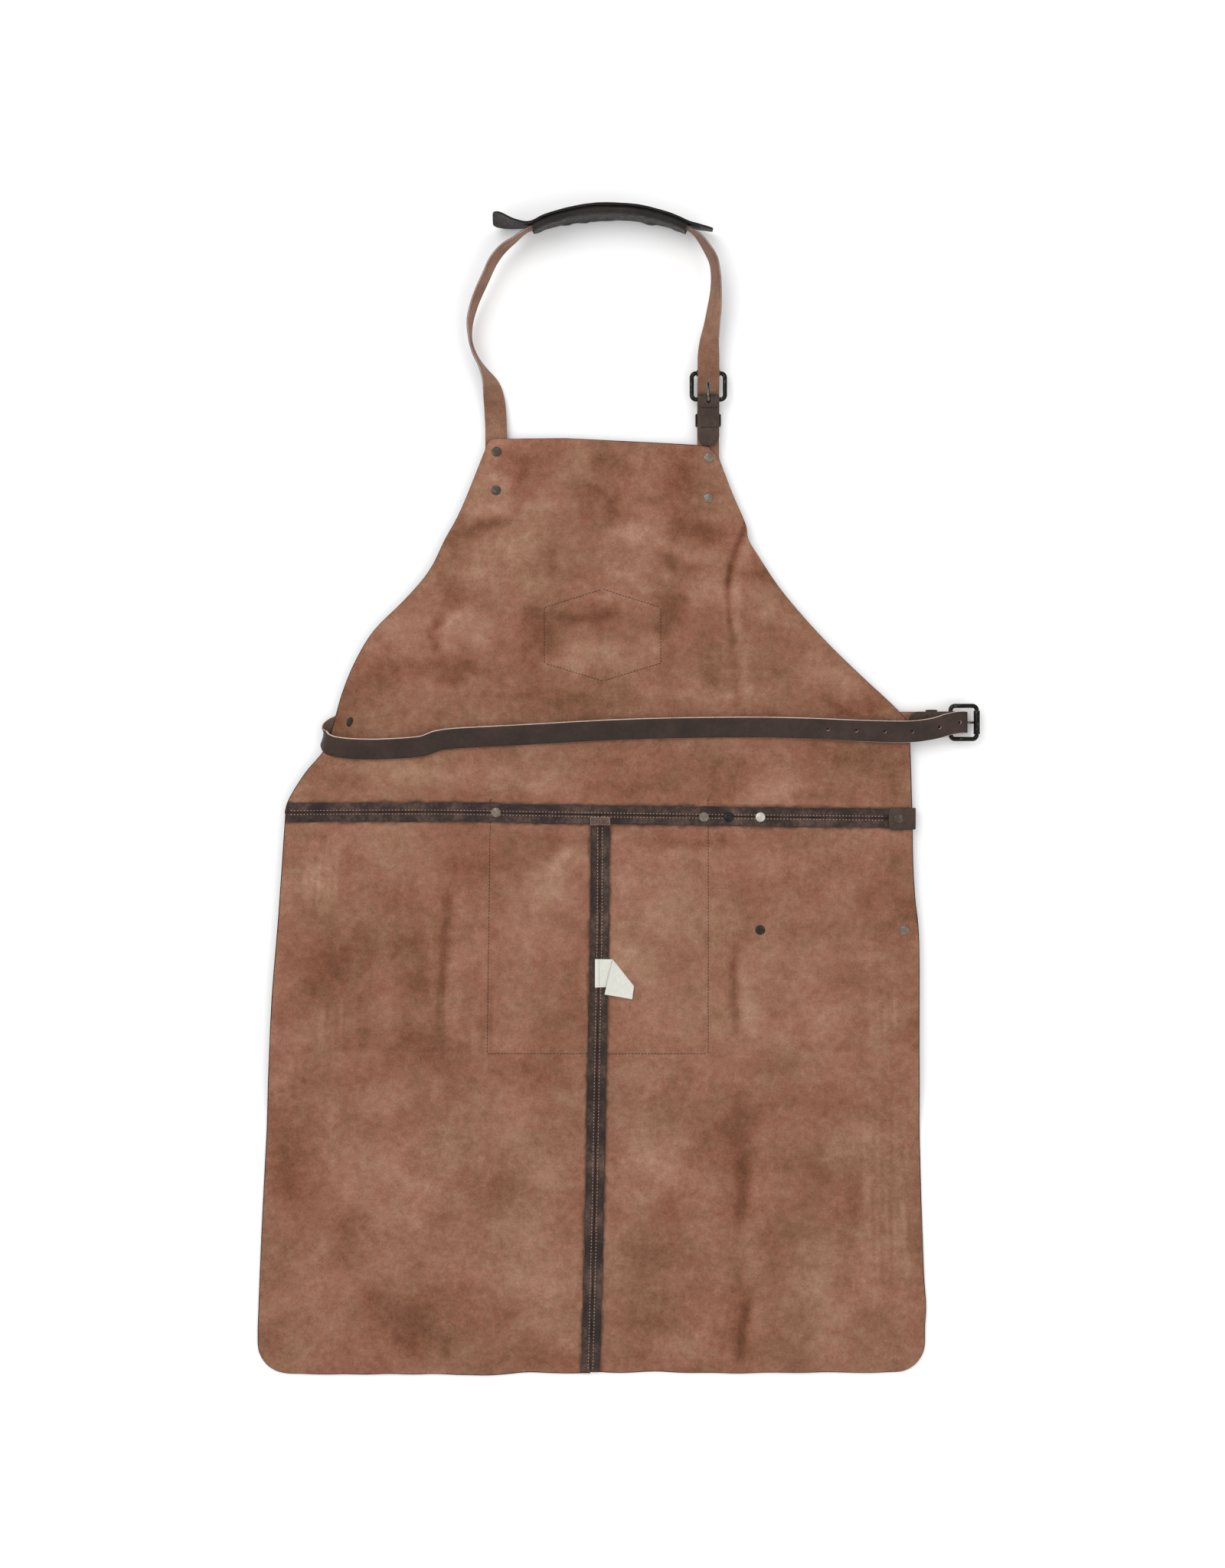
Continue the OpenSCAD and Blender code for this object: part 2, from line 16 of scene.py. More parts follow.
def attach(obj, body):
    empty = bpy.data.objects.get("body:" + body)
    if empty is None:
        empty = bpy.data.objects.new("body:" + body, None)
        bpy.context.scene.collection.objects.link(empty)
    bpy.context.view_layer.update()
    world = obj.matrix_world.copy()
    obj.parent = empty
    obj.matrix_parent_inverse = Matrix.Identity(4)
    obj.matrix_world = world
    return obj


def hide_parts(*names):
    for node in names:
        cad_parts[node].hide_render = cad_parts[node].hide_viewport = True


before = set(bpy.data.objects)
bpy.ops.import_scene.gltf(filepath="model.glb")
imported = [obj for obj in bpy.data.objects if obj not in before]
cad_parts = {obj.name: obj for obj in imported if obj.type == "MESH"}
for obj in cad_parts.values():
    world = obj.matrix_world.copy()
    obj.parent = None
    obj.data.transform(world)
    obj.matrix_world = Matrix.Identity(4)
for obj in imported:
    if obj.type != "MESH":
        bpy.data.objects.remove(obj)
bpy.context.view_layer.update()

MM = 0.001
FULL = math.tau

# ---- driving sizes, as in the CAD source ----
# _T is a thickness, _W a width, _H a height, _R a radius, _L a length, _Y a place and _Z a level
ORIGIN = np.array([15.25, 20.5, 0.0])
BODY_T = 1.8
STRAP_T = 2.6
STRAP_W = 20.0
SEAM_T = 1.5
SEAM_W = 8.5
LIFT = 7.5
TOP_Z = LIFT + BODY_T
SEAM_Z = TOP_Z + SEAM_T
UNDER_Z = LIFT - STRAP_T
STRAP_Z = UNDER_Z + STRAP_T / 2
FLOOR_Z = 1.6
HEM_Y = -515.0
HEM_R = 28.0
EDGE_LEFT = -317.0
HEM_RIGHT = 299.0
RAMP_TOP = -235.0
RAMP_END = -300.0
PAD_CENTRE = (8.0, 406.0)
PAD_R = 150.0
PAD_H = 40.0
PAD_HALF = 29.0
WIRE_R = 2.0
ROLLER_R = 2.9
ROLLER_L = 22.0
BUCKLE_PITCH = 24.0
HEEL_Z = LIFT + WIRE_R + 0.1
TAIL_Z = UNDER_Z - 0.3 - STRAP_T / 2
SHORT_Z = TOP_Z + 0.1
KEEPER_T = 1.5
CAP_R = 4.5

BIB_LEFT_RIVETS = [(-96, 334.5), (-96.5, 299)]
BIB_RIGHT_RIVETS = [(99, 329), (98.6, 292)]
POCKET_RIVETS = [(-96.5, 2.8), (94.7, -1.4)]
TOOL_RIVET = (146.5, -1.5)
TOOL_RIVETS_LOWER = [(146.5, -105.3), (279, -105.7)]
STUD = (117.6, -1.5)
EDGE_RIVET = (273, -3)
BELT_RIVET = (-231, 86)
WAIST_TAB_RIVETS = [(238, 84.5), (264, 84.5)]
TOOL_Y = (-3.0, -105.5)


# ---- camera, light and floor ----
EYE = (10.6, 28.9, 2000)


def look_down():
    """The camera hangs straight above the apron, as high as a person on a short ladder holds it."""
    data = bpy.data.cameras.new("camera")
    camera = bpy.data.objects.new("camera", data)
    bpy.context.scene.collection.objects.link(camera)
    camera.location = place(*EYE)
    data.sensor_width = 36
    data.lens = 49.7
    data.clip_start = 0.05
    bpy.context.scene.camera = camera


def soft_light(name, location, size, power):
    """A round lamp, size metres across, that looks at the apron."""
    data = bpy.data.lights.new(name, "AREA")
    data.shape = "DISK"
    data.size = size
    data.energy = power
    light = bpy.data.objects.new(name, data)
    bpy.context.scene.collection.objects.link(light)
    light.location = location
    light.rotation_mode = "QUATERNION"
    light.rotation_quaternion = (-Vector(location)).to_track_quat("-Z", "Y")


def studio():
    """White surroundings and two wide lamps, as for a catalogue."""
    scene = bpy.context.scene
    scene.view_settings.view_transform = "Standard"
    world = bpy.data.worlds.new("studio")
    world.use_nodes = True
    back = world.node_tree.nodes["Background"]
    back.inputs["Color"].default_value = (1, 1, 1, 1)
    back.inputs["Strength"].default_value = 0.92
    scene.world = world
    soft_light("key", (-1.4, 1.5, 2.8), 2.4, 38)
    soft_light("fill", (1.8, -1.2, 2.8), 2.0, 14)


def lay_floor():
    """A pale floor, wide enough to fill every view."""
    half, lines, sink = 4.0, 25, 0.0002
    line = np.linspace(-half, half, lines)
    points = [(x, y, -sink) for y in line for x in line]
    faces = [cell for _, _, cell in quads(lines, lines)]
    mesh = bpy.data.meshes.new("floor")
    mesh.from_pydata(points, [], faces)
    mesh.materials.append(floor_paint())
    floor = bpy.data.objects.new("floor", mesh)
    bpy.context.scene.collection.objects.link(floor)


# ---- materials ----
def srgb(red, green, blue):
    """A colour as a person picks it, 0 to 255, in the linear values that nodes take."""
    parts = [c / 255 for c in (red, green, blue)]
    return tuple(c / 12.92 if c <= 0.04045 else ((c + 0.055) / 1.055) ** 2.4 for c in parts) + (1.0,)


class Paint:
    """A material's node tree, with short calls for the nodes that leather, thread and metal share."""

    def __init__(self, name, **values):
        """values are the shader's own inputs, with _ for each space in their names."""
        self.material = bpy.data.materials.new(name)
        self.material.use_nodes = True
        self.tree = self.material.node_tree
        self.shader = self.tree.nodes["Principled BSDF"]
        self.where = self.tree.nodes.new("ShaderNodeTexCoord").outputs["Object"]
        for socket, value in values.items():
            self.shader.inputs[socket.replace("_", " ")].default_value = value

    def link(self, value, socket):
        if isinstance(value, bpy.types.NodeSocket):
            self.tree.links.new(value, socket)
        else:
            socket.default_value = value

    def noise(self, size, detail=3.0, rough=0.5, stretch=(1, 1, 1), shift=0.0, twist=0.0):
        """Cloudy noise whose blotches are about size metres across."""
        where = self.where
        if stretch != (1, 1, 1) or shift:
            mapping = self.tree.nodes.new("ShaderNodeMapping")
            mapping.inputs["Scale"].default_value = stretch
            mapping.inputs["Location"].default_value = (shift, shift, shift)
            self.tree.links.new(where, mapping.inputs["Vector"])
            where = mapping.outputs["Vector"]
        node = self.tree.nodes.new("ShaderNodeTexNoise")
        node.inputs["Scale"].default_value = 1 / size
        node.inputs["Detail"].default_value = detail
        node.inputs["Roughness"].default_value = rough
        node.inputs["Distortion"].default_value = twist
        self.tree.links.new(where, node.inputs["Vector"])
        return node.outputs["Fac"]

    def cells(self, size):
        """Pebbles about size metres across."""
        node = self.tree.nodes.new("ShaderNodeTexVoronoi")
        node.inputs["Scale"].default_value = 1 / size
        self.tree.links.new(self.where, node.inputs["Vector"])
        return node.outputs["Distance"]

    def painted(self, attribute):
        """A value that the mesh carries at its points."""
        node = self.tree.nodes.new("ShaderNodeAttribute")
        node.attribute_name = attribute
        return node.outputs["Fac"]

    def math(self, operation, a, b):
        node = self.tree.nodes.new("ShaderNodeMath")
        node.operation = operation
        self.link(a, node.inputs[0])
        self.link(b, node.inputs[1])
        return node.outputs[0]

    def blend(self, *parts):
        """The sum of (value, weight) pairs."""
        total = None
        for value, weight in parts:
            part = self.math("MULTIPLY", value, weight)
            total = part if total is None else self.math("ADD", total, part)
        return total

    def ramp(self, factor, *stops):
        """Colours or levels along a value: (place, colour) pairs."""
        node = self.tree.nodes.new("ShaderNodeValToRGB")
        elements = node.color_ramp.elements
        while len(elements) < len(stops):
            elements.new(0.5)
        for element, (position, colour) in zip(elements, stops):
            element.position = position
            element.color = colour if isinstance(colour, tuple) else (colour, colour, colour, 1)
        self.tree.links.new(factor, node.inputs["Fac"])
        return node.outputs["Color"]

    def mix(self, factor, a, b):
        node = self.tree.nodes.new("ShaderNodeMix")
        node.data_type = "RGBA"
        self.link(factor, node.inputs[0])
        self.link(a, node.inputs[6])
        self.link(b, node.inputs[7])
        return node.outputs[2]

    def bump(self, *layers):
        """Relief from (height value, depth in metres) pairs."""
        normal = None
        for height, depth in layers:
            node = self.tree.nodes.new("ShaderNodeBump")
            node.inputs["Strength"].default_value = 1.0
            node.inputs["Distance"].default_value = depth
            self.tree.links.new(height, node.inputs["Height"])
            if normal is not None:
                self.tree.links.new(normal, node.inputs["Normal"])
            normal = node.outputs["Normal"]
        self.tree.links.new(normal, self.shader.inputs["Normal"])

    def colour(self, value):
        self.link(value, self.shader.inputs["Base Color"])

    def rough(self, value):
        self.link(value, self.shader.inputs["Roughness"])


def floor_paint():
    paint = Paint("floor_paint", Roughness=0.9, Specular_IOR_Level=0.1)
    paint.colour(paint.ramp(paint.noise(0.6), (0.3, (0.95, 0.95, 0.95, 1)), (0.7, (0.97, 0.97, 0.97, 1))))
    return paint.material


def suede_paint():
    """Brushed flesh side: soft clouds from rosy to olive brown, fine nap, soaked beside the seams."""
    paint = Paint("body_suede", Specular_IOR_Level=0.12, Sheen_Weight=0.06, Sheen_Roughness=0.6)
    clouds = paint.noise(0.085, 4, 0.55, twist=0.3)
    patches = paint.noise(0.028, 4, 0.6, shift=3.1)
    mottle = paint.noise(0.0075, 4, 0.65, shift=1.7)
    nap = paint.noise(0.0017, 3, 0.75)
    weights = (0.62, 0.6, 0.6, 0.62)
    # the painted tone holds random tone changes and rubbed places, and also painted fold shade, painted fold
    # highlights and one painted shadow
    value = paint.blend(*zip((clouds, patches, mottle, nap), weights), (paint.painted("tone"), 0.3))
    value = paint.math("ADD", value, 0.5 - sum(weights) / 2)
    rosy = paint.ramp(value, (0.0, srgb(92, 53, 36)), (0.25, srgb(114, 71, 52)), (0.5, srgb(134, 90, 71)),
                      (0.75, srgb(151, 110, 91)), (1.0, srgb(172, 134, 116)))
    olive = paint.ramp(value, (0.0, srgb(88, 55, 37)), (0.25, srgb(108, 72, 52)), (0.5, srgb(129, 91, 70)),
                       (0.75, srgb(148, 112, 90)), (1.0, srgb(168, 134, 113)))
    hue = paint.blend((paint.noise(0.06, 3, 0.5, shift=7.7), 0.55),
                      (paint.noise(0.009, 3, 0.6, shift=4.2), 0.45))
    body = paint.mix(paint.ramp(hue, (0.42, 0.0), (0.58, 1.0)), rosy, olive)
    soak = paint.math("MULTIPLY", paint.painted("stain"), paint.ramp(mottle, (0.3, 0.55), (0.6, 1.0)))
    paint.colour(paint.mix(soak, body, srgb(66, 47, 39)))
    paint.rough(paint.ramp(mottle, (0.3, 0.82), (0.7, 0.95)))
    paint.bump((mottle, 0.0004), (nap, 0.00035))
    return paint.material


def leather_paint(name, dark, mid, light, grain=0.0011, rough=(0.42, 0.62), depth=0.00018):
    """Grain side: pebbled cells, slow tone changes and scuffs that shine less."""
    paint = Paint(name, Specular_IOR_Level=0.28)
    clouds = paint.noise(0.03, 4, 0.55, shift=2.3)
    mottle = paint.noise(0.004, 4, 0.6)
    fine = paint.noise(0.0009, 2, 0.6)
    value = paint.blend((clouds, 0.5), (mottle, 0.32), (fine, 0.22))
    paint.colour(paint.ramp(value, (0.36, srgb(*dark)), (0.5, srgb(*mid)), (0.68, srgb(*light))))
    paint.rough(paint.ramp(mottle, (0.3, rough[0]), (0.7, rough[1])))
    paint.bump((mottle, depth), (paint.cells(grain), depth * 0.8))
    return paint.material


def flesh_paint(name, dark, mid, light):
    """Flesh side or a cut edge: matt and fibrous."""
    paint = Paint(name, Specular_IOR_Level=0.15, Sheen_Weight=0.1, Sheen_Roughness=0.6)
    clouds = paint.noise(0.024, 4, 0.6, shift=5.2)
    hairs = paint.noise(0.0016, 4, 0.7, stretch=(1, 1, 2))
    value = paint.blend((clouds, 0.55), (hairs, 0.45))
    paint.colour(paint.ramp(value, (0.34, srgb(*dark)), (0.5, srgb(*mid)), (0.68, srgb(*light))))
    paint.rough(paint.ramp(hairs, (0.3, 0.8), (0.7, 0.95)))
    paint.bump((hairs, 0.0003))
    return paint.material


def metal_paint(name, base, worn, rough=0.36, metallic=0.9, wear=0.5):
    """Plated steel with rubbed patches and fine scratches."""
    paint = Paint(name, Metallic=metallic)
    rubbed = paint.ramp(paint.noise(0.0035, 4, 0.6, shift=1.3), (wear, 0.0), (wear + 0.14, 1.0))
    paint.colour(paint.mix(rubbed, srgb(*base), srgb(*worn)))
    scratch = paint.noise(0.0008, 3, 0.7, stretch=(1, 0.12, 1))
    paint.rough(paint.ramp(scratch, (0.3, rough - 0.08), (0.7, rough + 0.14)))
    paint.bump((scratch, 0.00004), (paint.noise(0.002, 2), 0.00005))
    return paint.material


def satin_paint():
    """White woven satin: fine crossing threads, faint creases."""
    paint = Paint("label_satin", Specular_IOR_Level=0.5, Sheen_Weight=0.3, Sheen_Roughness=0.4)
    warp = paint.noise(0.00045, 1, 0.5, stretch=(1, 0.08, 1))
    weft = paint.noise(0.00045, 1, 0.5, stretch=(0.08, 1, 1), shift=4)
    cloth = paint.blend((warp, 0.5), (weft, 0.5))
    paint.colour(paint.ramp(cloth, (0.3, srgb(192, 192, 182)), (0.6, srgb(208, 208, 198))))
    paint.rough(paint.ramp(cloth, (0.3, 0.42), (0.7, 0.6)))
    paint.bump((cloth, 0.00008), (paint.noise(0.006, 2), 0.0005))
    return paint.material


def thread_paint(name, dark, light):
    """Twisted sewing thread."""
    paint = Paint(name, Specular_IOR_Level=0.3)
    ply = paint.noise(0.0006, 2, 0.5)
    paint.colour(paint.ramp(ply, (0.35, srgb(*dark)), (0.65, srgb(*light))))
    paint.rough(paint.ramp(ply, (0.3, 0.6), (0.7, 0.8)))
    paint.bump((ply, 0.0001))
    return paint.material


# ---- places and lines ----
def place(x, y, z):
    """A point of the plan, in the frame's metres."""
    return (np.array([x, y, z], float) - ORIGIN) * MM


def catmull(points, steps=6):
    """The smooth curve through the points, which may have any number of values each."""
    rows = np.array(points, float)
    padded = np.vstack([rows[:1], rows, rows[-1:]])
    t = np.arange(steps)[:, None] / steps
    out = []
    for a, b, c, d in zip(padded, padded[1:], padded[2:], padded[3:]):
        out.extend(0.5 * (2 * b + (c - a) * t + (2 * a - 5 * b + 4 * c - d) * t ** 2
                          + (3 * b - a - 3 * c + d) * t ** 3))
    out.append(rows[-1])
    return np.array(out)


def arc(centre, radius, start, end, steps):
    """Points on a circle between two angles in degrees."""
    angles = np.radians(np.linspace(start, end, steps + 1))
    return [(centre[0] + radius * math.cos(a), centre[1] + radius * math.sin(a)) for a in angles]


class Line:
    """A curve that gives its values at any share of its length."""

    def __init__(self, rows):
        self.rows = np.array(rows, float)
        dims = min(3, self.rows.shape[1])
        lengths = np.linalg.norm(np.diff(self.rows[:, :dims], axis=0), axis=1)
        self.run = np.concatenate([[0.0], np.cumsum(lengths)])
        self.length = self.run[-1]

    def at(self, share):
        s = np.asarray(share) * self.length
        return np.stack([np.interp(s, self.run, column) for column in self.rows.T], axis=-1)


def smooth(value, low, high):
    """0 up to low, 1 from high on, and a soft step between."""
    t = np.clip((value - low) / (high - low), 0, 1)
    return t * t * (3 - 2 * t)


def waves(x, y, size, seed=0.0):
    """Smooth noise over the plan, about -0.5 to 0.5; x and y are numbers or arrays of them."""
    if np.ndim(x) == 0:
        return noise.noise(Vector((x / size + seed, y / size - seed, seed * 0.37)))
    return np.array([waves(a, b, size, seed) for a, b in zip(x, y)])


# ---- the lie of the leather ----
STILL = (BIB_LEFT_RIVETS + BIB_RIGHT_RIVETS + POCKET_RIVETS + [TOOL_RIVET, STUD, EDGE_RIVET, BELT_RIVET]
         + TOOL_RIVETS_LOWER + WAIST_TAB_RIVETS)
# soft ridges: middle x, y, half length along x, along y, height
RIDGES = [(121, 60, 16, 250, 0.9), (-148, -150, 20, 90, 0.8), (-160, 235, 60, 26, 0.8),
          (60, 205, 90, 22, 0.5), (-262, 45, 34, 30, 0.7), (-30, -330, 170, 24, 0.6),
          (190, -400, 30, 110, 0.9), (-235, -350, 26, 120, 0.8)]


def relief(x, y):
    """How far the leather stands off its bed: slow waves and a few ridges, calm at each rivet."""
    height = 0.75 + 0.75 * waves(x, y, 120, 3.3) + 0.22 * waves(x, y, 42, 8.1)
    for mid_x, mid_y, half_x, half_y, lift in RIDGES:
        height += lift * math.exp(-((x - mid_x) / half_x) ** 2 - ((y - mid_y) / half_y) ** 2)
    calm = min(smooth(math.hypot(x - px, y - py), 5, 34) for px, py in STILL)
    return max(0.0, height) * (0.06 + 0.94 * calm)


def bed(x, y):
    """Height of the body's underside: a plateau over the pocket and straps, then down to the floor."""
    return LIFT * smooth(y, RAMP_END, RAMP_TOP) + relief(x, y)


def top(x, y):
    """Height of the body's upper side, the one that the wearer has against them."""
    return bed(x, y) + BODY_T


# ---- outlines, as in the CAD source, and a notch in the bib's right edge ----
BIB_LEFT = catmull([(-290, -5), (-289, 11), (-273, 38), (-253.5, 62), (-245, 89), (-238, 113),
                    (-226.5, 141), (-209, 170), (-181, 198), (-158, 225), (-143.5, 254), (-128.5, 282),
                    (-106, 338)], 4)
BIB_TOP = catmull([(-32, 347), (85, 341), (99, 338.5)])
BIB_RIGHT = catmull([(108.5, 329), (121, 296), (133, 268), (135.5, 254), (144.5, 239), (163, 211),
                     (186, 183), (212, 155), (241, 127), (275, 95), (283, 80), (285, 50), (286, 18),
                     (287, -8)], 4)
SKIRT_LEFT = catmull([(-290, 8), (-291.5, -15), (-297, -95), (-303, -170), (-307, -257),
                      (-313.5, -387), (EDGE_LEFT, -475)])
SKIRT_RIGHT = catmull([(HEM_RIGHT, -472), (300, -451), (298, -419), (295, -329), (293, -236),
                       (292.8, -118), (289, -75), (287, -35), (287, 8)])
WAIST = catmull([(-291, 2.6), (-160, 3.2), (-60, 1.6), (0, 0.6), (120, -1.0), (287, -2.9)], 20)
SKIRT_SEAM = catmull([(-0.8, -5), (-1.4, -110), (-3.2, -208), (-6.2, -370), (-9.8, HEM_Y)], 20)


def waist_y(x):
    return float(np.interp(x, WAIST[:, 0], WAIST[:, 1]))


def seam_x(y):
    return float(np.interp(-y, -SKIRT_SEAM[:, 1], SKIRT_SEAM[:, 0]))


def band_width(along, seed):
    """A turned seam allowance is cut by hand, so its width wanders."""
    wander = 0.65 * waves(along, seed * 9, 55, seed) + 0.5 * waves(along, seed * 5, 13, seed + 2)
    return SEAM_W + wander + 0.32 * waves(along, seed, 3.4, seed + 5)


# ---- meshes ----
def quads(rows, columns):
    """Row, column and four corners of each cell of a grid of points."""
    for i in range(rows - 1):
        for j in range(columns - 1):
            corner = i * columns + j
            yield i, j, (corner, corner + 1, corner + columns + 1, corner + columns)


def rim_of(row, column, rows, columns):
    """The places round a block of a grid's cells, in order."""
    return ([(row, column + j) for j in range(columns)]
            + [(row + i, column + columns) for i in range(rows)]
            + [(row + rows, column + columns - j) for j in range(columns)]
            + [(row + rows - i, column) for i in range(rows)])


def joined(shapes):
    """Several shapes of (points, faces) as one."""
    points, faces = [], []
    for own_points, own_faces in shapes:
        shift = len(points)
        points += own_points
        faces += [tuple(i + shift for i in face) for face in own_faces]
    return points, faces


def add_mesh(name, points, faces, materials, indices, body, nodes=(), crease=50):
    """A piece from points of the plan; it rides on a body and stands for the CAD nodes named."""
    mesh = bpy.data.meshes.new(name)
    mesh.from_pydata([tuple(p) for p in (np.asarray(points, float) - ORIGIN) * MM], [], faces)
    for material in materials:
        mesh.materials.append(material)
    mesh.polygons.foreach_set("material_index", np.array(indices, np.int32))
    mesh.polygons.foreach_set("use_smooth", np.ones(len(faces), bool))
    shape = bmesh.new()
    shape.from_mesh(mesh)
    bmesh.ops.recalc_face_normals(shape, faces=shape.faces)
    shape.to_mesh(mesh)
    shape.free()
    mesh.update()
    mesh.set_sharp_from_angle(angle=math.radians(crease))
    piece = bpy.data.objects.new(name, mesh)
    bpy.context.scene.collection.objects.link(piece)
    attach(piece, body)
    if nodes:
        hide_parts(*nodes)
    return piece


def stations(length, step, lip=1.0, dense=(0.0, 0.0)):
    """Places along a cut sheet, close together at its lips and over the dense stretch at each end."""
    marks = {0.0, 0.3 * lip, lip, length - lip, length - 0.3 * lip, length}
    marks.update(np.arange(lip, dense[0], 1.0))
    marks.update(length - np.arange(lip, dense[1], 1.0))
    start, end = max(lip, dense[0]), length - max(lip, dense[1])
    marks.update(np.linspace(start, end, max(2, round((end - start) / step)) + 1))
    places = sorted(m for m in marks if 0 <= m <= length)
    kept = [places[0]]
    for mark in places[1:]:
        if mark - kept[-1] > 0.15 * lip:
            kept.append(mark)
    kept[-1] = length
    return np.array(kept)


def fullness(rows, columns):
    """How full a sheet's thickness is at each point of its grid: it rounds off at the cut edges."""
    full = np.ones((rows, columns))
    full[1] = full[-2] = full[:, 1] = full[:, -2] = 0.8
    full[0] = full[-1] = full[:, 0] = full[:, -1] = 0.3
    return full


def thick_sheet(name, upper, lower, materials, body, slot, nodes=(), rings=1, holes=()):
    """A sheet with thickness from two grids of points. materials are (upper, lower, edge); the outer rings of
    the upper face take the edge's. A hole is (row, column, rows, columns, upper rim, lower rim)."""
    rows, columns = upper.shape[:2]
    points = list(upper.reshape(-1, 3)) + list(lower.reshape(-1, 3))
    half = rows * columns
    faces, indices = [], []
    gone = {(i, j) for r, c, n, m, *_ in holes for i in range(r, r + n) for j in range(c, c + m)}
    for i, j, (a, b, c, d) in quads(rows, columns):
        if (i, j) in gone:
            continue
        faces += [(a, b, c, d), (half + d, half + c, half + b, half + a)]
        rim = min(i, j, rows - 2 - i, columns - 2 - j) < rings
        indices += [2 if rim else 0, 1]
    ring = [i * columns + j for i, j in rim_of(0, 0, rows - 1, columns - 1)]
    for a, b in zip(ring, ring[1:] + ring[:1]):
        faces.append((b, a, half + a, half + b))
        indices.append(2)
    for *block, upper_rim, lower_rim in holes:
        outer = [i * columns + j for i, j in rim_of(*block)]
        start = len(points)
        points += list(upper_rim) + list(lower_rim)
        count = len(outer)
        for k in range(count):
            a, b = outer[k], outer[(k + 1) % count]
            p, q = start + k, start + (k + 1) % count
            faces += [(a, b, q, p), (half + b, half + a, count + p, count + q),
                      (p, q, count + q, count + p)]
            indices += [0, 1, 2]
    return add_mesh(name, points, faces, materials, indices, body, nodes)


def coons(bottom, upper, left, right, across, along):
    """The grid of plan points between four edge lines, at the given shares of its width and height."""
    u, v = across[None, :, None], along[:, None, None]
    b, t, l, r = bottom.at(across), upper.at(across), left.at(along), right.at(along)
    corners = (1 - u) * (1 - v) * b[0] + u * (1 - v) * b[-1] + (1 - u) * v * t[0] + u * v * t[-1]
    return (1 - v) * b[None] + v * t[None] + (1 - u) * l[:, None] + u * r[:, None] - corners


def lay_sheet(name, grid, height, thickness, materials, slot, nodes=(), rings=2):
    """A sheet of the apron laid at height(x, y) above the floor, over a grid of plan points."""
    level = np.array([[height(x, y) for x, y in row] for row in grid])
    middle = level + thickness / 2
    full = fullness(*level.shape)
    upper = np.dstack([grid, middle + full * thickness / 2])
    lower = np.dstack([grid, middle - full * thickness / 2])
    return thick_sheet(name, upper, lower, materials, "apron", slot, nodes, rings)


def paint_points(piece, **layers):
    """Stores a value at each point of the piece, from a function of its place in the plan."""
    points = np.empty(3 * len(piece.data.vertices), np.float32)
    piece.data.vertices.foreach_get("co", points)
    x, y, _ = (points.reshape(-1, 3) / MM + ORIGIN).T
    for name, value_at in layers.items():
        layer = piece.data.attributes.new(name, "FLOAT", "POINT")
        layer.data.foreach_set("value", value_at(x, y).astype(np.float32))


def area_of(outline):
    """Area inside an outline, in square metres."""
    x, y = np.array(outline).T
    return abs(np.dot(x, np.roll(y, 1)) - np.dot(y, np.roll(x, 1))) / 2 * MM * MM
